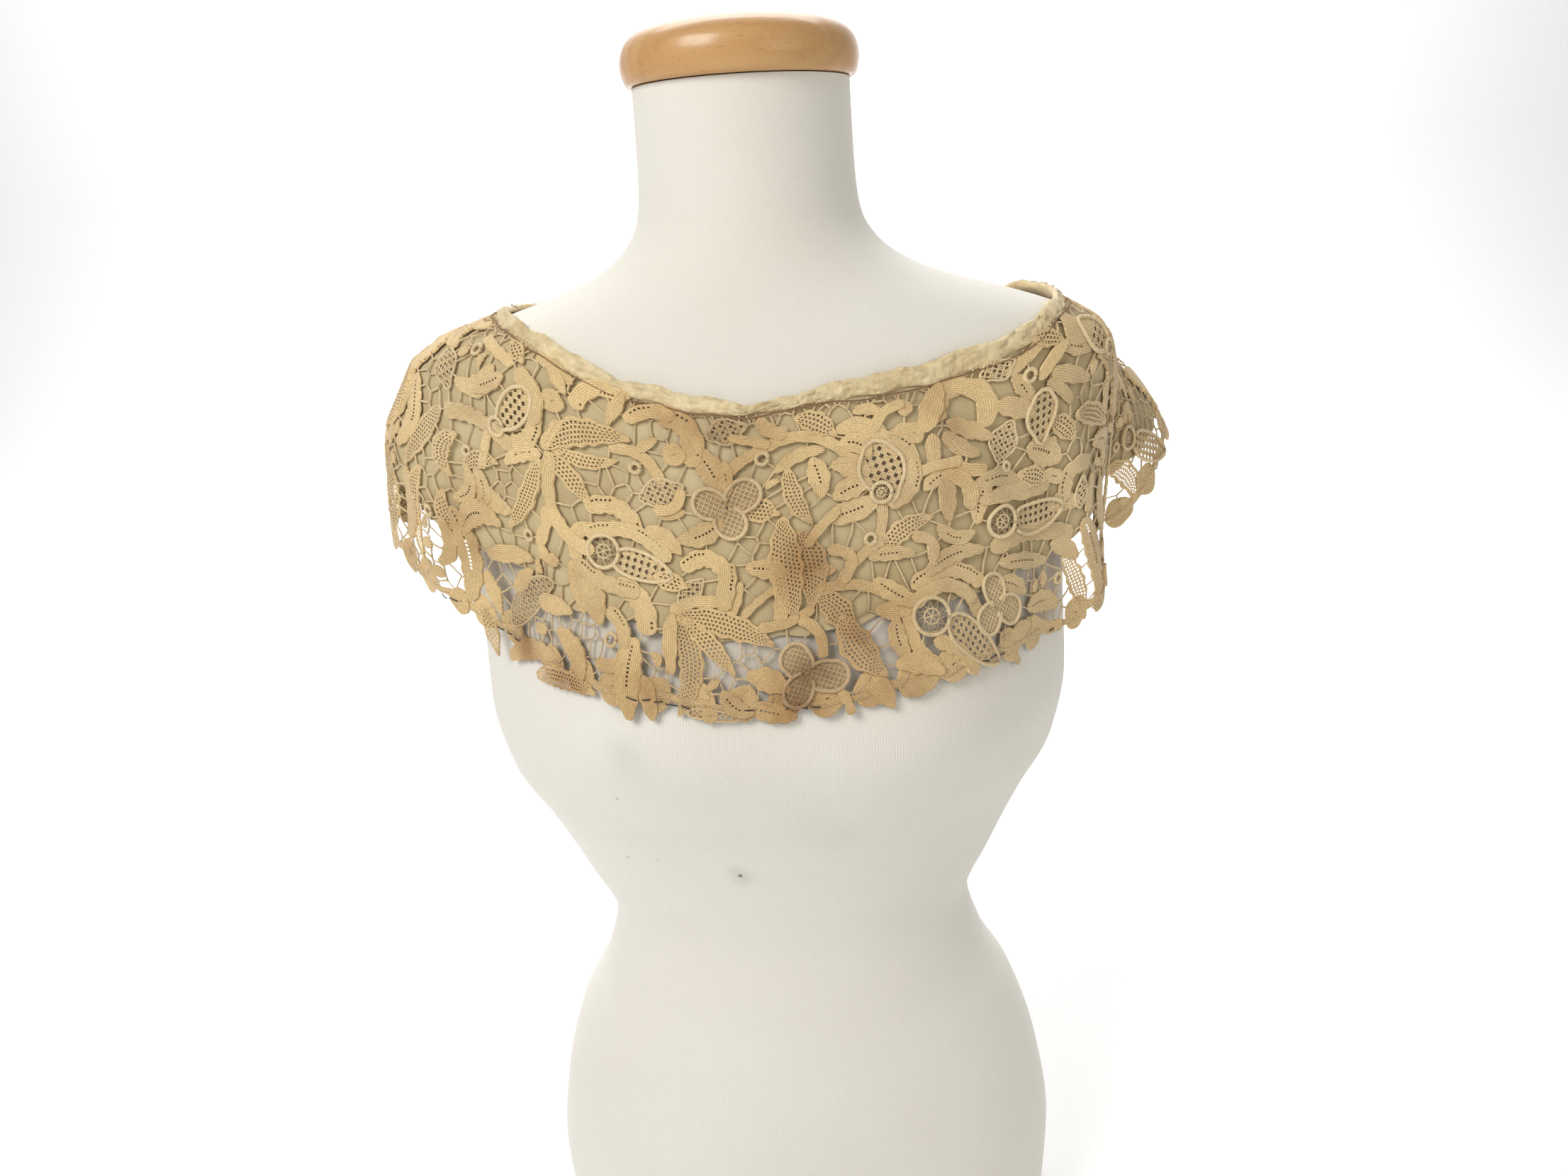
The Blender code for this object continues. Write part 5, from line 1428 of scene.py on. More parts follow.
def net_sites(design, allowed):
    """Middles of the bar net's meshes, dropped one by one into the open ground and kept apart."""
    shake = np.random.default_rng(NET_SEED)
    outer = CUT_INNER + SITE_DEPTH
    grid = np.arange(-outer, outer, SITE_GRID)
    spots = np.stack(np.meshgrid(grid, grid[grid < SITE_TOP]), -1).reshape(-1, 2)
    radius = np.hypot(spots[:, 0], spots[:, 1])
    turn = np.arctan2(spots[:, 0], -spots[:, 1])
    spots = spots[(radius > CUT_INNER) & (radius < outer) & (np.abs(turn) < SITE_TURN)]
    spots = spots[allowed(spots)]
    room = work_distance(design, spots)
    spots, room = spots[room > SITE_ROOM], room[room > SITE_ROOM]
    turn_to_drop = shake.uniform(0, 1.5 * MM, len(spots)) - np.minimum(room, 3.5 * MM)
    sites = np.empty((0, 2))
    for k in np.argsort(turn_to_drop, kind="stable"):
        if len(sites) == 0 or np.hypot(*(sites - spots[k]).T).min() > NET_PITCH:
            sites = np.concatenate([sites, spots[k:k + 1]])
    return sites


def edge_sites(panel):
    """Middles of the meshes cut by the hem and by the binding."""
    along = np.arange(panel.first + 4 * MM, panel.last - 4 * MM, 0.8 * NET_PITCH)
    sway = 1.5 * MM * np.sin(along / (3 * MM))
    low = panel.flat(along, panel.hem(along) - 3 * MM + sway)
    high = panel.flat(along, panel.binding_width(along) + 0.5 * MM + sway)
    return np.concatenate([low, high])


def mesh_edges(sites):
    """Edges between neighbouring meshes, each from one corner of the net to the next."""
    result = delaunay_2d_cdt([Vector(site) for site in sites], [], [], 0, 1e-9)
    places = np.array([(place[0], place[1]) for place in result[0]])
    beside = {}
    for triangle in result[2]:
        a, b, c = places[list(triangle)]
        ab, ac = b - a, c - a
        twice = 2 * (ab[0] * ac[1] - ab[1] * ac[0])
        if abs(twice) < 1e-12:
            continue
        up = (ac[1] * ab.dot(ab) - ab[1] * ac.dot(ac)) / twice
        across = (ab[0] * ac.dot(ac) - ac[0] * ab.dot(ab)) / twice
        centre = a + np.array([up, across])
        for p, q in ((0, 1), (1, 2), (2, 0)):
            edge = tuple(sorted((triangle[p], triangle[q])))
            beside.setdefault(edge, []).append(centre)
    return [beside[edge] for edge in sorted(beside) if len(beside[edge]) == 2]


def bar_net(stock, sites, design, allowed, shake):
    """Thin bars along the edges of the meshes, from patch to patch."""
    lines = []
    for start, end in mesh_edges(sites):
        length = float(np.hypot(*(end - start)))
        if length < BAR_LEAST:
            continue
        if length > BAR_MOST:
            end = start + (end - start) * (BAR_MOST / length)
            length = BAR_MOST
        count = max(3, int(length / (1.5 * MM)) + 1)
        lines.append(arc_points(start, end, shake.uniform(-0.06, 0.06) * length, count))
    joined = np.concatenate(lines)
    clear = (work_distance(design, joined) > -BAR_TUCK) & allowed(joined)
    turn = 0
    for line in lines:
        fine = np.linspace(0, 1, len(line))
        for first, last in stretches(clear[turn:turn + len(line)]):
            if last - first < 2:
                continue
            lift = BAR_LIFT + 0.25 * MM * np.sin(9 * fine[first:last] + shake.uniform(0, 6))
            cord(stock, line[first:last], lift, BAR_RADIUS * shake.uniform(0.85, 1.2), sides=6)
        turn += len(line)


def small_leaves(patches, cords, sites, design, allowed, shake):
    """Small leaves and rings in some of the widest meshes."""
    room = work_distance(design, sites)
    for site, gap in zip(sites, room):
        if gap < 4.4 * MM or not allowed(site[None, :])[0] or shake.uniform() > 0.3:
            continue
        reach = min(gap, 7 * MM)
        turn = shake.uniform(0, math.pi)
        way = 0.62 * reach * np.array([math.cos(turn), math.sin(turn)])
        if shake.uniform() < 0.2:
            open_ring(cords, site, 3.4 * MM)
        else:
            bow = shake.uniform(-1.5, 1.5) * MM
            worked_patch(patches, "leaf", site - way, site + way, bow, 0.45 * reach, 2 * TIER, shake)


# Edges of a lace panel

def hem_band(stock, panel):
    """A narrow band worked along the hem."""
    along = np.arange(panel.first + 2 * MM, panel.last - 2 * MM, 1.6 * MM)
    sway = 1.2 * MM * np.sin(along / (7.5 * MM)) + 0.8 * MM * np.sin(along / (3.1 * MM))
    line = panel.flat(along, panel.hem(along) - 5.5 * MM + sway)
    shares = np.array([-1, -0.9, 0, 0.9, 1])
    heights = np.array([0, 1, 0.8, 1, 0])
    width = 1.9 * MM * (1 + 0.2 * np.sin(along / (5.3 * MM)))
    flat, uv = band(line, shares[None, :] * width[:, None])
    lift = np.repeat((PATCH_LIFT - 0.2 * MM + heights * PATCH_RISE)[None, :], len(along), 0)
    stock.add(flat, lift, uv, grid_faces(len(along), len(shares)), 0.45)


def hem_lobes(stock, panel, design, shake):
    """Worked lobes along the hem, where no motif reaches the edge."""
    radius = 0.47 * SCALLOP_PITCH
    first = int(math.ceil(panel.first / SCALLOP_PITCH)) - 1
    last = int(math.floor(panel.last / SCALLOP_PITCH)) + 1
    for k in range(first, last):
        along = (k + 0.5) * SCALLOP_PITCH
        if not panel.first + 4 * MM < along < panel.last - 4 * MM:
            continue
        depth = SCALLOP_DEPTHS[k % len(SCALLOP_DEPTHS)]
        centre = panel.flat(along, float(panel.hem(along)) + depth / 2 - radius)
        if work_distance(design, centre[None, :])[0] > -2 * MM:
            worked_round(stock, centre, radius, -TIER * (1 + k % 2), shake)


def seam_threads(stock, panel):
    """Overcast threads down both side edges, where the panels meet."""
    for along in (panel.first + 0.35 * MM, panel.last - 0.35 * MM):
        down = np.arange(float(panel.binding_width(along)), float(panel.hem(along)) - 3 * MM, 1.6 * MM)
        spread = along + 0.25 * MM * np.sin(down / (0.9 * MM))
        cord(stock, panel.flat(spread, down), BAR_LIFT, 0.75 * MM, sides=6)


def thread_line(stock, panel):
    """The thread that the lace hangs from, just under the binding."""
    first, last = panel.first + MM, panel.last - MM
    count = int((last - first) / (2 * MM))
    along = np.linspace(first, last, count)
    down = panel.binding_width(along) + 0.9 * MM + 0.4 * MM * np.sin(along / (6 * MM))
    cord(stock, panel.flat(along, down), BAR_LIFT + 0.6 * MM, 0.45 * MM, sides=6)


def build_lace(side, panel, rows, finishes):
    """All of one panel's needle lace: patches, bars, crossed threads, raised cords and hem lobes."""
    shake = np.random.default_rng(LACE_SEEDS[side])
    stocks = {part: Stock() for part, _, _ in LACE_LAYERS}
    patches, threads, cords, bars, hanging = stocks.values()
    wheels = rounds_of(panel, rows, "wheel")
    lobes = rounds_of(panel, rows, "lobe")
    for number, (kind, from_along, from_down, to_along, to_down, bow, half_width) in enumerate(rows):
        start = panel.spot(from_along, from_down)
        end = panel.spot(to_along, to_down)
        size = half_width * MM
        tier = TIER * (number * 7 % 5)
        if kind == "ring":
            open_ring(cords, start, size)
        elif kind == "wheel":
            wheel(threads, cords, start, size, shake)
        elif kind in FILLINGS:
            filled_motif(stocks, kind, start, end, bow * MM, size, lobes, wheels)
        elif kind == "round":
            worked_round(patches, start, size, tier, shake)
        else:
            worked_patch(patches, kind, start, end, bow * MM, size, tier, shake)
    design = design_of(panel, rows)
    middles, bar_ground = net_ground(panel)
    hem_band(patches, panel)
    hem_lobes(patches, panel, design, shake)
    sites = np.concatenate([net_sites(design, middles), edge_sites(panel)])
    bar_net(bars, sites, design, bar_ground, shake)
    small_leaves(patches, cords, sites, design, middles, shake)
    seam_threads(bars, panel)
    thread_line(hanging, panel)
    made = {}
    for part, name, finish in LACE_LAYERS:
        made[part] = stocks[part].laid(name + side, panel, finishes[finish], "needle_lace")
    return made


# Lining, binding and repairs

def build_lining(side, panel, finish):
    """Thin gauze under the lace, with a slack, slightly frayed lower edge."""
    columns = 170
    rows = 22
    along = np.linspace(panel.first + 0.05 * MM, panel.last - 0.05 * MM, columns)
    top = panel.binding_width(along) - 3 * MM
    fray = 1.6 * MM * np.sin(along / (11 * MM)) + 0.9 * MM * np.sin(along / (3.7 * MM) + 1)
    bottom = LINING_DEPTH - 1.5 * MM + fray
    share = np.linspace(0, 1, rows)[:, None]
    down = top + (bottom - top) * share
    ripple = np.sin(along / (17 * MM) + 3 * share) * np.sin(down / (23 * MM) + 1)
    lift = GAUZE_LIFT + 0.35 * MM * ripple
    along = np.broadcast_to(along, down.shape)
    flat = panel.flat(along, down)
    stock = Stock()
    stock.add(flat, lift, np.stack([along, down], -1) / MM, grid_faces(rows, columns))
    piece = stock.laid("gauze_lining_" + side, panel, finish, "lining_gauze")
    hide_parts("lining_" + side)
    return piece


def crumpled(along, share):
    """Height of the binding's small creases: slanting folds of several lengths, sharp on top."""
    height = 0.0
    for length, slant, weight in CRUMPLES:
        bend = 1.5 * np.sin(along / (2.9 * length * MM) + slant)
        fold = np.abs(np.sin(along / (0.64 * length * MM) + slant * share + bend))
        height = height + weight * (0.6 - fold)
    return CRUMPLE_HEIGHT * height * MM


def build_binding(side, panel, finish):
    """A soft folded strip of gauze, crumpled along its length."""
    stations = 520
    along = np.linspace(panel.first + 0.15 * MM, panel.last - 0.15 * MM, stations)
    width = panel.binding_width(along)
    slack = 1 + 0.09 * np.sin(along / (13 * MM)) + 0.07 * np.sin(along / (5.1 * MM) + 2)
    shares, heights = np.array(BINDING_ROLL).T
    heights = heights * MM
    fold = 0.85 + 0.13 * np.sin(along / (9 * MM) + 1.4 * np.sin(along / (31 * MM)))
    outer = np.clip((heights - 1.0 * MM) / (2.2 * MM), 0, 1)[None, :]
    lift = heights[None, :] * fold[:, None] + outer * crumpled(along[:, None], shares[None, :])
    lift = np.maximum(lift, 0.1 * MM)
    upper = np.clip(1 - shares, 0, 1)[None, :]
    sway = np.sin(along / (6.3 * MM)) + 0.7 * np.sin(along / (15 * MM) + 2)
    sway = sway + 0.4 * np.sin(along / (2.6 * MM))
    down = shares[None, :] * (width * slack)[:, None] + upper * 0.8 * MM * (sway[:, None] + 0.9)
    down = np.maximum(down, 0.12 * MM * shares[None, :])
    spread = np.repeat(along[:, None], len(shares), 1)
    flat = panel.flat(spread, down)
    stock = Stock()
    stock.add(flat, lift, np.stack([spread, down * 1.3 + lift], -1) / MM, grid_faces(stations, len(shares)))
    piece = stock.laid("neck_binding_" + side, panel, finish, "binding_gauze")
    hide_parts("binding_" + side)
    return piece


def build_repairs(side, panel, finish):
    """Short black running stitches that hold the torn hem."""
    stock = Stock()
    shake = np.random.default_rng(REPAIR_SEEDS[side])
    facing = 1 if side == "front" else -1
    for first, last, above in REPAIRS:
        place = first
        while place < last:
            run = shake.uniform(2.5, 5.5)
            tilt = shake.uniform(-1.2, 1.2)
            along = panel.middle + facing * np.array([place, place + run / 2, place + run]) * MM
            if panel.first + MM < along.min() and along.max() < panel.last - MM:
                down = panel.hem(along) - above * MM + np.array([0, tilt / 2, tilt]) * MM
                lift = np.array([3.3, 3.9, 3.3]) * MM
                cord(stock, panel.flat(along, down), lift, 0.36 * MM, sides=5)
            place += run + shake.uniform(1.0, 3.0)
    return stock.laid("repair_stitches_" + side, panel, finish, "needle_lace")


# Dress form and cap

def painted_shade_under_cloth(panels, points):
    """How far each point of the cover lies under the cloth, as the strength of the painted shade there:
    nothing at its edges, one well inside.
    """
    count = 240
    turn, low, high = [], [], []
    for panel in panels.values():
        along = np.linspace(panel.first, panel.last, count)
        edge = panel.drape.at(along, panel.hem(along), np.zeros(count))
        top = panel.drape.at(along, np.zeros(count), np.zeros(count))
        turn += list(np.arctan2(edge[:, 0], -edge[:, 1]))
        low += list(edge[:, 2])
        high += list(top[:, 2])
    order = np.argsort(turn)
    turn, low, high = np.array(turn)[order], np.array(low)[order], np.array(high)[order]
    at = np.arctan2(points[:, 0], -points[:, 1])
    above = (points[:, 2] - np.interp(at, turn, low) - 3 * MM) / (9 * MM)
    below = (np.interp(at, turn, high) - points[:, 2] - 2 * MM) / (9 * MM)
    return np.clip(np.minimum(above, below), 0, 1)


def build_form(panels, finish):
    """The padded body and neck, closed at the base and open under the cap."""
    columns = 200
    rows = 190
    heights = FORM_TOP * np.linspace(0, 1, rows)
    turns = FULL_TURN * np.arange(columns + 1) / columns
    azimuth = np.broadcast_to(turns - math.pi, (rows, columns + 1))
    level = np.broadcast_to(heights[:, None], azimuth.shape)
    radius = form_radius(azimuth, level)
    points = np.stack([radius * np.sin(azimuth), -radius * np.cos(azimuth), level], -1).reshape(-1, 3)
    uv = np.stack([azimuth * 0.115, level], -1).reshape(-1, 2) / MM
    faces = grid_faces(rows, columns + 1)
    faces.append(tuple(range(columns))[::-1])
    # Painted shade on the cover under the capelet, kept as a mark on its points
    marks = {"painted_shade": painted_shade_under_cloth(panels, points)}
    piece = mesh_piece("padded_form", points, faces, uv, marks, finish)
    weld(piece)
    piece.data.set_sharp_from_angle(angle=math.radians(60))
    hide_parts("form_body")
    return piece


def build_cap(finish):
    """The wooden cap, turned from its profile with its corners eased."""
    sides = 120
    turns = FULL_TURN * np.arange(sides + 1) / sides
    profile = np.array(CAP_PROFILE) * MM
    fine = np.linspace(0, len(profile) - 1, 60)
    radius = np.interp(fine, np.arange(len(profile)), profile[:, 0])
    height = np.interp(fine, np.arange(len(profile)), profile[:, 1])
    kernel = np.array([0.25, 0.5, 0.25])
    for _ in range(2):
        radius[1:-1] = np.convolve(radius, kernel, "valid")
        height[1:-1] = np.convolve(height, kernel, "valid")
    level = np.broadcast_to((FORM_TOP + TOUCH_GAP + height)[:, None], (len(radius), sides + 1))
    points = np.stack([radius[:, None] * np.cos(turns), radius[:, None] * np.sin(turns), level], -1)
    uv = np.stack(np.broadcast_arrays(turns[None, :] * 60, height[:, None] / MM), -1).reshape(-1, 2)
    faces = grid_faces(len(radius), sides + 1)
    piece = mesh_piece("turned_cap", points.reshape(-1, 3), faces, uv, {}, finish)
    weld(piece)
    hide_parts("neck_cap")
    return piece


# Node helpers

def new_group(name, inputs, outputs):
    """A node group with its named sockets, and its two end nodes."""
    group = bpy.data.node_groups.new(name, "ShaderNodeTree")
    for label, kind, value in inputs:
        socket = group.interface.new_socket(name=label, in_out="INPUT", socket_type=kind)
        if value is not None:
            socket.default_value = value
    for label, kind in outputs:
        group.interface.new_socket(name=label, in_out="OUTPUT", socket_type=kind)
    return group, group.nodes.new("NodeGroupInput"), group.nodes.new("NodeGroupOutput")


def node(tree, kind, inputs=None, **settings):
    """A node with its settings, each input either a value or another node's output."""
    made = tree.nodes.new(kind)
    for key, value in settings.items():
        setattr(made, key, value)
    for key, value in (inputs or {}).items():
        if isinstance(value, bpy.types.NodeSocket):
            tree.links.new(value, made.inputs[key])
        else:
            made.inputs[key].default_value = value
    return made


def sums(tree, operation, a, b=0.0, c=0.0, clamp=False):
    """One step of arithmetic."""
    return node(tree, "ShaderNodeMath", {0: a, 1: b, 2: c}, operation=operation, use_clamp=clamp).outputs[0]


def blend_colours(tree, share, a, b, mode="MIX"):
    """Colour a with a share of colour b, mixed in or multiplied."""
    inputs = {0: share, 6: a, 7: b}
    return node(tree, "ShaderNodeMix", inputs, data_type="RGBA", blend_type=mode).outputs[2]


def mapped(tree, value, low, high, start, end):
    """A value read from one range into another."""
    return node(tree, "ShaderNodeMapRange", {0: value, 1: low, 2: high, 3: start, 4: end}).outputs[0]


def noise(tree, place, scale, detail, roughness=0.5, distortion=0.0):
    """Soft uneven clouds, from nothing to one."""
    inputs = {"Vector": place, "Scale": scale, "Detail": detail, "Roughness": roughness}
    inputs["Distortion"] = distortion
    return node(tree, "ShaderNodeTexNoise", inputs).outputs["Fac"]


def stretched(tree, place, scale, rotation=(0, 0, 0)):
    """A place scaled more one way than another, so that clouds on it run into streaks."""
    inputs = {"Vector": place, "Scale": scale, "Rotation": rotation}
    return node(tree, "ShaderNodeMapping", inputs).outputs[0]


def shaded(tree, colour, level, share=1.0):
    """A colour made lighter or darker by a level."""
    grey = node(tree, "ShaderNodeCombineColor", {0: level, 1: level, 2: level}).outputs[0]
    return blend_colours(tree, share, colour, grey, "MULTIPLY")


def ridges(tree, angle):
    """A wave from nothing to one, from an angle in radians."""
    return sums(tree, "MULTIPLY_ADD", sums(tree, "COSINE", angle), 0.5, 0.5)


def axes_of(tree, place):
    """The three coordinates of a place, each on its own."""
    return node(tree, "ShaderNodeSeparateXYZ", {0: place}).outputs


def stitch_map(tree):
    """Place along and across the work, in millimetres."""
    return node(tree, "ShaderNodeUVMap", uv_map="stitches").outputs[0]


def object_place(tree):
    """Place on the part, in metres."""
    return node(tree, "ShaderNodeTexCoord").outputs["Object"]


def painted(tree, label):
    """Strength of one of the marks painted on a piece's points."""
    return node(tree, "ShaderNodeAttribute", attribute_name=label).outputs["Fac"]


# Shared effects

def stitch_rows_group():
    """Close stitches in rows: ridges along the work, and a mask of the small gaps between the stitches for
    painted shade.
    """
    group, into, out = new_group(
        "stitch_rows",
        [("Row Pitch", "NodeSocketFloat", 1.05), ("Stitch Pitch", "NodeSocketFloat", 0.8),
         ("Unevenness", "NodeSocketFloat", 0.35)],
        [("Height", "NodeSocketFloat"), ("Gap Shade", "NodeSocketFloat")])
    row_pitch = into.outputs["Row Pitch"]
    place = stitch_map(group)
    drift = sums(group, "SUBTRACT", noise(group, place, 0.55, 2.0), 0.5)
    offset = sums(group, "MULTIPLY", drift, into.outputs["Unevenness"])
    axes = axes_of(group, place)
    across = sums(group, "ADD", axes[1], offset)
    along = sums(group, "ADD", axes[0], sums(group, "MULTIPLY", offset, 1.7))
    row = ridges(group, sums(group, "DIVIDE", sums(group, "MULTIPLY", across, FULL_TURN), row_pitch))
    number = sums(group, "ROUND", sums(group, "DIVIDE", across, row_pitch))
    stagger = sums(group, "MULTIPLY", number, 0.37)
    phase = sums(group, "ADD", sums(group, "DIVIDE", along, into.outputs["Stitch Pitch"]), stagger)
    stitch = ridges(group, sums(group, "MULTIPLY", phase, FULL_TURN))
    height = sums(group, "MULTIPLY_ADD", row, 0.45, sums(group, "MULTIPLY", stitch, 0.55))
    # Mask for painted shade: deepest between rows, lighter between stitches
    low_row = sums(group, "POWER", sums(group, "SUBTRACT", 1.0, row), 1.4)
    low_stitch = sums(group, "POWER", sums(group, "SUBTRACT", 1.0, stitch), 1.1)
    gap = sums(group, "MULTIPLY", low_row, sums(group, "MULTIPLY_ADD", low_stitch, 0.85, 0.15))
    group.links.new(height, out.inputs["Height"])
    group.links.new(gap, out.inputs["Gap Shade"])
    return group


def aged_thread_group():
    """Old ecru thread: pale where it has faded, tea brown in marks and soft clouds."""
    group, into, out = new_group(
        "aged_thread",
        [("Fresh", "NodeSocketColor", (0.6, 0.45, 0.27, 1)),
         ("Brown", "NodeSocketColor", (0.3, 0.17, 0.07, 1)),
         ("Pale", "NodeSocketColor", (0.72, 0.6, 0.4, 1)),
         ("Cloud", "NodeSocketFloat", 0.4)],
        [("Color", "NodeSocketColor")])
    where = object_place(group)
    clouds = noise(group, where, 26.0, 3.0, roughness=0.6)
    fleck = noise(group, where, 900.0, 2.0)
    cloud = sums(group, "MULTIPLY", mapped(group, clouds, 0.48, 0.72, 0.0, 1.0), into.outputs["Cloud"])
    edge = sums(group, "MULTIPLY", painted(group, "brown"), sums(group, "MULTIPLY_ADD", clouds, 0.9, 0.5))
    stain = sums(group, "ADD", cloud, edge, clamp=True)
    paler = sums(group, "MULTIPLY", painted(group, "pale"), sums(group, "MULTIPLY_ADD", clouds, 0.8, 0.35))
    colour = blend_colours(group, paler, into.outputs["Fresh"], into.outputs["Pale"])
    colour = blend_colours(group, stain, colour, into.outputs["Brown"])
    level = sums(group, "MULTIPLY_ADD", painted(group, "tone"), 0.34, 0.83)
    speck = sums(group, "MULTIPLY", mapped(group, fleck, 0.3, 0.7, 0.86, 1.12), level)
    group.links.new(shaded(group, colour, speck), out.inputs["Color"])
    return group


def plain_weave_group():
    """Open plain weave: two crossing sets of fine threads, each a little uneven."""
    group, into, out = new_group(
        "plain_weave",
        [("Thread Pitch", "NodeSocketFloat", 0.5), ("Slub", "NodeSocketFloat", 0.5)],
        [("Height", "NodeSocketFloat"), ("Streak", "NodeSocketFloat")])
    place = stitch_map(group)
    axes = axes_of(group, place)
    waves = []
    for axis in (0, 1):
        turns = sums(group, "MULTIPLY", axes[axis], FULL_TURN)
        waves.append(ridges(group, sums(group, "DIVIDE", turns, into.outputs["Thread Pitch"])))
    slub_a = noise(group, stretched(group, place, (0.05, 2.4, 1.0)), 1.0, 2.0)
    slub_b = noise(group, stretched(group, place, (2.2, 0.06, 1.0)), 1.0, 2.0)
    slubs = sums(group, "ADD", slub_a, slub_b)
    streak = sums(group, "MULTIPLY", sums(group, "SUBTRACT", slubs, 1.0), into.outputs["Slub"])
    height = sums(group, "ADD", sums(group, "MAXIMUM", waves[0], waves[1]), streak)
    group.links.new(height, out.inputs["Height"])
    group.links.new(streak, out.inputs["Streak"])
    return group


# Finishes

def new_finish(name, roughness, **settings):
    """A material with its shader, some of whose inputs are set."""
    finish = bpy.data.materials.new(name)
    finish.use_nodes = True
    tree = finish.node_tree
    shader = tree.nodes["Principled BSDF"]
    shader.inputs["Roughness"].default_value = roughness
    for label, value in settings.items():
        shader.inputs[label.replace("_", " ")].default_value = value
    return finish, tree, shader


def placed_group(tree, group, **values):
    """A shared effect placed in a material with its own values."""
    made = node(tree, "ShaderNodeGroup")
    made.node_tree = group
    for label, value in values.items():
        made.inputs[label.replace("_", " ")].default_value = value
    return made


def bumped(tree, shader, height, strength, distance):
    """Fine relief on the surface, from a height."""
    bump = node(tree, "ShaderNodeBump", {"Height": height, "Strength": strength, "Distance": distance})
    tree.links.new(bump.outputs[0], shader.inputs["Normal"])


def patch_finish(groups):
    """Close needle stitches in aged ecru thread, with painted shade in the gaps between stitches and rows."""
    finish, tree, shader = new_finish("worked_ecru_lace", 0.86, Sheen_Weight=0.25, Sheen_Roughness=0.5)
    thread = placed_group(tree, groups["thread"], Fresh=WORKED_ECRU, Brown=WORKED_BROWN, Pale=WORKED_PALE,
                          Cloud=0.42)
    rows = placed_group(tree, groups["rows"], Row_Pitch=1.05, Stitch_Pitch=0.95, Unevenness=0.5)
    # Painted shade: the thread colour is darkened in the gaps between stitches and rows
    shade = mapped(tree, rows.outputs["Gap Shade"], 0.0, 1.0, 1.05, 0.4)
    tree.links.new(shaded(tree, thread.outputs["Color"], shade), shader.inputs["Base Color"])
    bumped(tree, shader, rows.outputs["Height"], 0.4, 0.3 * MM)
    return finish


def thread_finish(groups, name, fresh, pale, cloud, twist):
    """Twisted thread, in aged ecru or brown."""
    finish, tree, shader = new_finish(name, 0.82, Sheen_Weight=0.25, Sheen_Roughness=0.5)
    thread = placed_group(tree, groups["thread"], Fresh=fresh, Brown=THREAD_BROWN, Pale=pale, Cloud=cloud)
    tree.links.new(thread.outputs["Color"], shader.inputs["Base Color"])
    axes = axes_of(tree, stitch_map(tree))
    lean = sums(tree, "MULTIPLY_ADD", axes[1], 0.9, axes[0])
    wave = sums(tree, "SINE", sums(tree, "MULTIPLY", lean, FULL_TURN / twist))
    bumped(tree, shader, wave, 0.7, 0.16 * MM)
    return finish


def gauze_finish(groups):
    """Thin silk gauze with slubs both ways, a little darker in clouds."""
    finish, tree, shader = new_finish("lining_silk_gauze", 0.7, Sheen_Weight=0.35, Sheen_Roughness=0.4)
    weave = placed_group(tree, groups["weave"], Thread_Pitch=0.55, Slub=0.8)
    clouds = noise(tree, object_place(tree), 22.0, 2.0)
    colour = blend_colours(tree, mapped(tree, clouds, 0.35, 0.7, 0.0, 1.0), GAUZE_LIGHT, GAUZE_DARK)
    level = sums(tree, "ADD", weave.outputs["Streak"], 1.0)
    tree.links.new(shaded(tree, colour, level, 0.35), shader.inputs["Base Color"])
    bumped(tree, shader, weave.outputs["Height"], 0.35, 0.1 * MM)
    return finish


def binding_finish(groups):
    """Crumpled gauze, slightly see-through between its threads."""
    finish, tree, shader = new_finish("crumpled_binding_gauze", 0.6, Sheen_Weight=0.4, Sheen_Roughness=0.4)
    weave = placed_group(tree, groups["weave"], Thread_Pitch=0.62, Slub=0.6)
    where = object_place(tree)
    clouds = noise(tree, where, 75.0, 5.0, roughness=0.7, distortion=1.2)
    colour = blend_colours(tree, mapped(tree, clouds, 0.4, 0.62, 0.0, 1.0), BINDING_LIGHT, BINDING_DARK)
    tree.links.new(colour, shader.inputs["Base Color"])
    tree.links.new(mapped(tree, weave.outputs["Height"], 0.2, 0.9, 0.86, 1.0), shader.inputs["Alpha"])
    crumple = noise(tree, where, 130.0, 3.0, distortion=1.5)
    bumped(tree, shader, sums(tree, "MULTIPLY_ADD", weave.outputs["Height"], 0.12, crumple), 0.7, 1.5 * MM)
    return finish


def repair_finish():
    """Black thread with a dusty fuzz."""
    finish, tree, shader = new_finish("black_repair_thread", 0.6)
    fuzz = noise(tree, object_place(tree), 1500.0, 2.0)
    tree.links.new(blend_colours(tree, fuzz, REPAIR_BLACK, REPAIR_FUZZ), shader.inputs["Base Color"])
    return finish


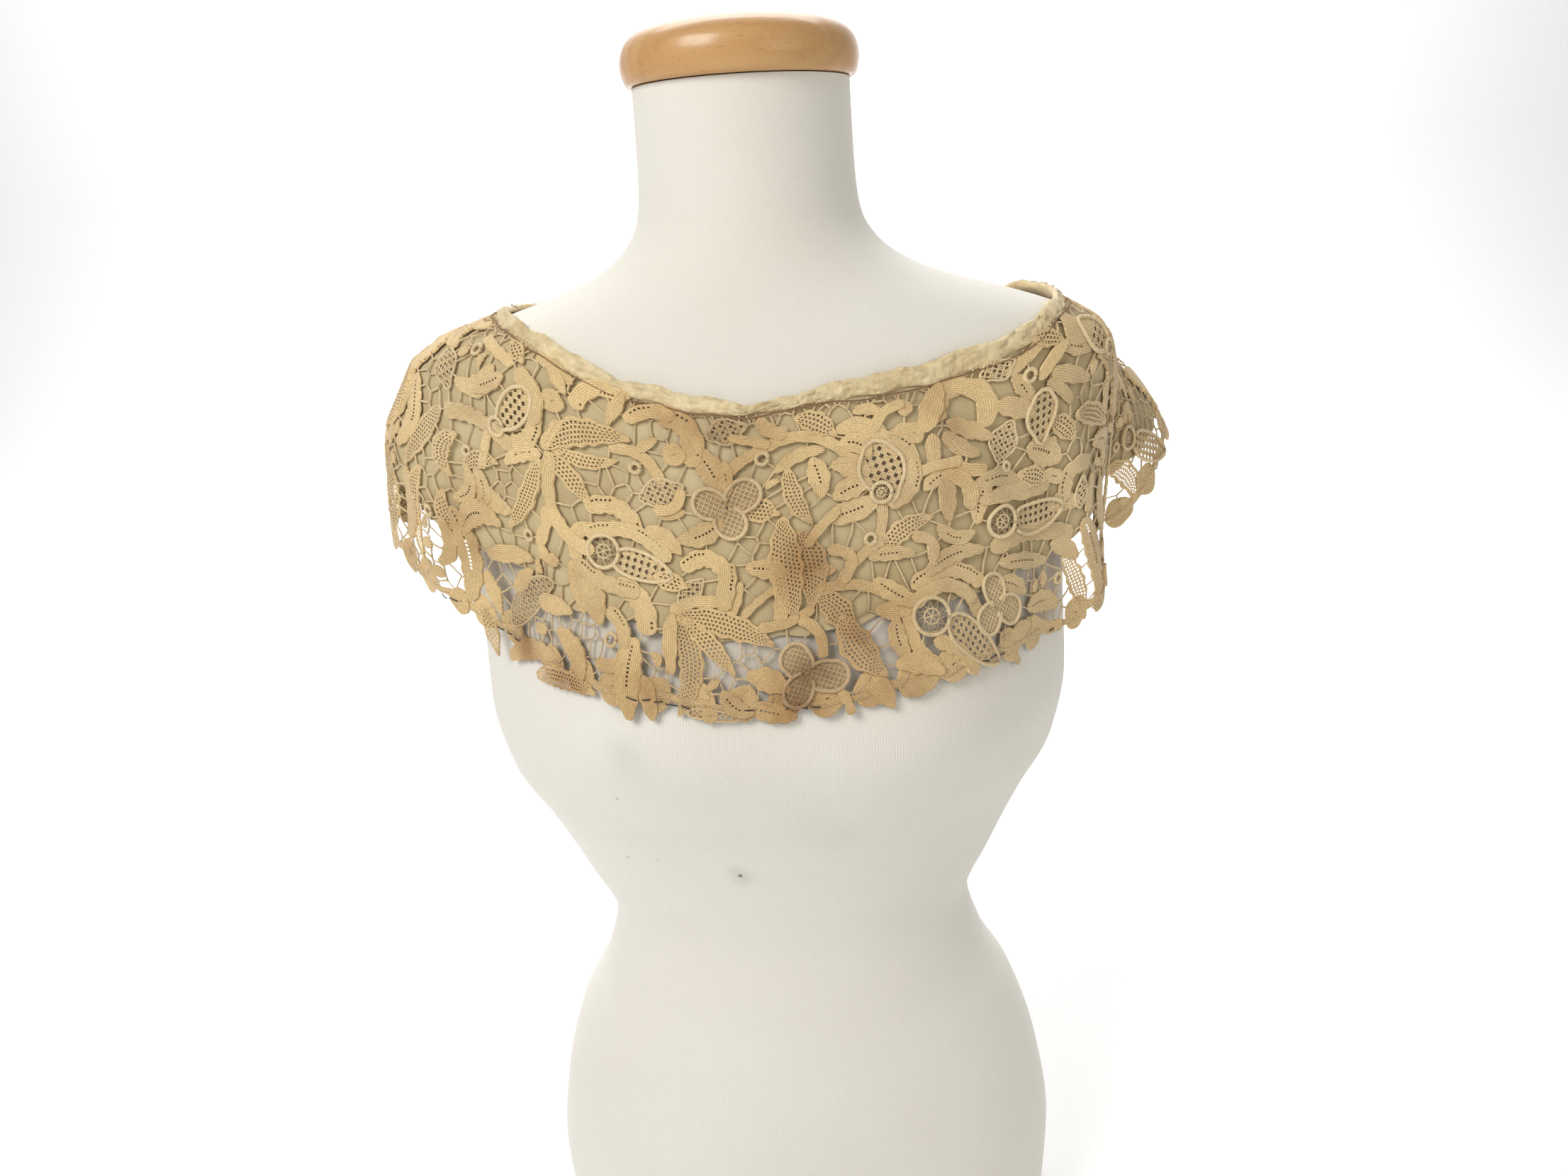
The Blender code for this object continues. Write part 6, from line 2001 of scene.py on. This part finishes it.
def jersey_finish():
    """Fine ribbed jersey: columns of small stitches, a few small dark marks and faint smudges, with painted
    shade in the rib grooves and under the capelet.
    """
    finish, tree, shader = new_finish("ivory_jersey", 0.9, Sheen_Weight=0.3, Sheen_Roughness=0.5)
    axes = axes_of(tree, stitch_map(tree))
    ridge = ridges(tree, sums(tree, "MULTIPLY", axes[0], FULL_TURN / RIB_PITCH))
    number = sums(tree, "ROUND", sums(tree, "DIVIDE", axes[0], RIB_PITCH))
    course = sums(tree, "MULTIPLY_ADD", number, 0.43, sums(tree, "DIVIDE", axes[1], COURSE_PITCH))
    stitch = sums(tree, "COSINE", sums(tree, "MULTIPLY", course, FULL_TURN))
    height = sums(tree, "MULTIPLY_ADD", sums(tree, "MULTIPLY", ridge, stitch), 0.35, ridge)
    where = object_place(tree)
    clouds = noise(tree, where, 7.0, 3.0)
    colour = blend_colours(tree, mapped(tree, clouds, 0.35, 0.7, 0.0, 1.0), JERSEY_LIGHT, JERSEY_DARK)
    # Painted shade: darker in the grooves between the ribs
    colour = shaded(tree, colour, mapped(tree, height, 0.0, 0.6, 0.89, 1.0))
    # Painted shade: the cover under the capelet is multiplied darker and greyer
    colour = blend_colours(tree, painted(tree, "painted_shade"), colour, JERSEY_PAINTED_SHADE, "MULTIPLY")
    colour = blend_colours(tree, cover_marks(tree, where), colour, JERSEY_MARK)
    tree.links.new(colour, shader.inputs["Base Color"])
    bumped(tree, shader, height, 0.3, 0.22 * MM)
    return finish


def cover_marks(tree, where):
    """Strength of the small marks at each place on the form's front."""
    axes = axes_of(tree, where)
    front = sums(tree, "LESS_THAN", axes[1], 0.0)
    total = 0.0
    for across, height, reach, strength in COVER_MARKS:
        dx = sums(tree, "SUBTRACT", axes[0], across)
        dz = sums(tree, "SUBTRACT", axes[2], height)
        square = sums(tree, "ADD", sums(tree, "MULTIPLY", dx, dx), sums(tree, "MULTIPLY", dz, dz))
        mark = sums(tree, "EXPONENT", sums(tree, "MULTIPLY", square, -1 / reach ** 2))
        total = sums(tree, "MULTIPLY_ADD", mark, strength, total)
    return sums(tree, "MULTIPLY", total, front, clamp=True)


def wood_finish():
    """Light turned wood under satin varnish, with short dark pores along the grain."""
    finish, tree, shader = new_finish("varnished_wood", 0.42, Coat_Weight=0.2, Coat_Roughness=0.18)
    where = object_place(tree)
    figure = noise(tree, stretched(tree, where, (6.0, 60.0, 60.0), GRAIN_TILT), 1.0, 5.0, distortion=0.6)
    pores = noise(tree, stretched(tree, where, (150.0, 1500.0, 1500.0), GRAIN_TILT), 1.0, 1.0)
    pore = mapped(tree, pores, 0.64, 0.74, 0.0, 0.65)
    colour = blend_colours(tree, mapped(tree, figure, 0.3, 0.7, 0.0, 1.0), WOOD_LIGHT, WOOD_DARK)
    colour = blend_colours(tree, pore, colour, WOOD_PORE)
    tree.links.new(colour, shader.inputs["Base Color"])
    tree.links.new(mapped(tree, figure, 0.3, 0.7, 0.28, 0.42), shader.inputs["Roughness"])
    bumped(tree, shader, sums(tree, "MULTIPLY", pore, -1.0), 0.4, 0.1 * MM)
    return finish


# Studio

def build_camera():
    """The photograph's viewpoint, a little above the capelet."""
    data = bpy.data.cameras.new("camera")
    data.lens = CAMERA_LENS
    data.sensor_width = CAMERA_SENSOR
    camera = placed("camera", data)
    tilt = Matrix.Rotation(math.pi / 2 - CAMERA_DOWN, 4, "X")
    roll = Matrix.Rotation(-CAMERA_ROLL, 4, "Z")
    camera.matrix_world = Matrix.Translation(CAMERA_AT) @ tilt @ roll
    bpy.context.scene.camera = camera


def build_lights():
    """Soft daylight from the left, a warm fill from the right and a bright backdrop."""
    for name, place, aim, side, power, colour in LIGHTS:
        data = bpy.data.lights.new(name, "AREA")
        data.energy = power
        data.size = side
        data.color = colour
        lamp = placed(name, data)
        lamp.location = place
        lamp.rotation_euler = (Vector(aim) - Vector(place)).to_track_quat("-Z", "Y").to_euler()
    world = bpy.data.worlds.new("studio_air")
    world.use_nodes = True
    background = world.node_tree.nodes["Background"]
    background.inputs["Color"].default_value = (1.0, 1.0, 1.0, 1)
    background.inputs["Strength"].default_value = AIR_LIGHT
    bpy.context.scene.world = world
    bpy.context.scene.view_settings.view_transform = "Standard"


def build_floor():
    """A pale floor that sweeps up behind into a plain backdrop."""
    finish = new_finish("pale_paper", 0.95, Base_Color=PAPER)[0]
    sweep = [(SWEEP_START + SWEEP_RADIUS * math.sin(a), SWEEP_RADIUS - SWEEP_RADIUS * math.cos(a))
             for a in np.linspace(0, math.pi / 2, 12)]
    outline = [(PAPER_FRONT, 0.0)] + sweep + [(SWEEP_START + SWEEP_RADIUS, PAPER_TOP)]
    mesh = bmesh.new()
    rings = [[mesh.verts.new((x, y, z - PAPER_DROP)) for y, z in outline] for x in (-PAPER_HALF, PAPER_HALF)]
    for k in range(len(outline) - 1):
        mesh.faces.new((rings[0][k], rings[1][k], rings[1][k + 1], rings[0][k + 1]))
    data = bpy.data.meshes.new("floor")
    mesh.to_mesh(data)
    mesh.free()
    floor = placed("floor", data)
    data.materials.append(finish)
    data.shade_smooth()


def main():
    groups = {"rows": stitch_rows_group(), "thread": aged_thread_group(), "weave": plain_weave_group()}
    finishes = {"patch": patch_finish(groups)}
    for key, settings in THREADS.items():
        finishes[key] = thread_finish(groups, *settings)
    gauze = gauze_finish(groups)
    crumpled_gauze = binding_finish(groups)
    black = repair_finish()
    drape = Drape()
    right = drape.along_of(SEAM_RIGHT)
    left = drape.along_of(SEAM_LEFT)
    panels = {
        "front": Panel(drape, left, right, 0.0),
        "back": Panel(drape, right, left + drape.total, drape.total / 2),
    }
    work = {"front": list(FRONT_WORK), "back": mirrored(FRONT_WORK) + list(WING_WORK)}
    form = build_form(panels, jersey_finish())
    build_cap(wood_finish())
    for side, panel in panels.items():
        lining = build_lining(side, panel, gauze)
        binding = build_binding(side, panel, crumpled_gauze)
        lace = build_lace(side, panel, fitted_rows(panel, work[side]), finishes)
        repairs = build_repairs(side, panel, black)
        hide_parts("lace_" + side)
    build_camera()
    build_lights()
    build_floor()


main()
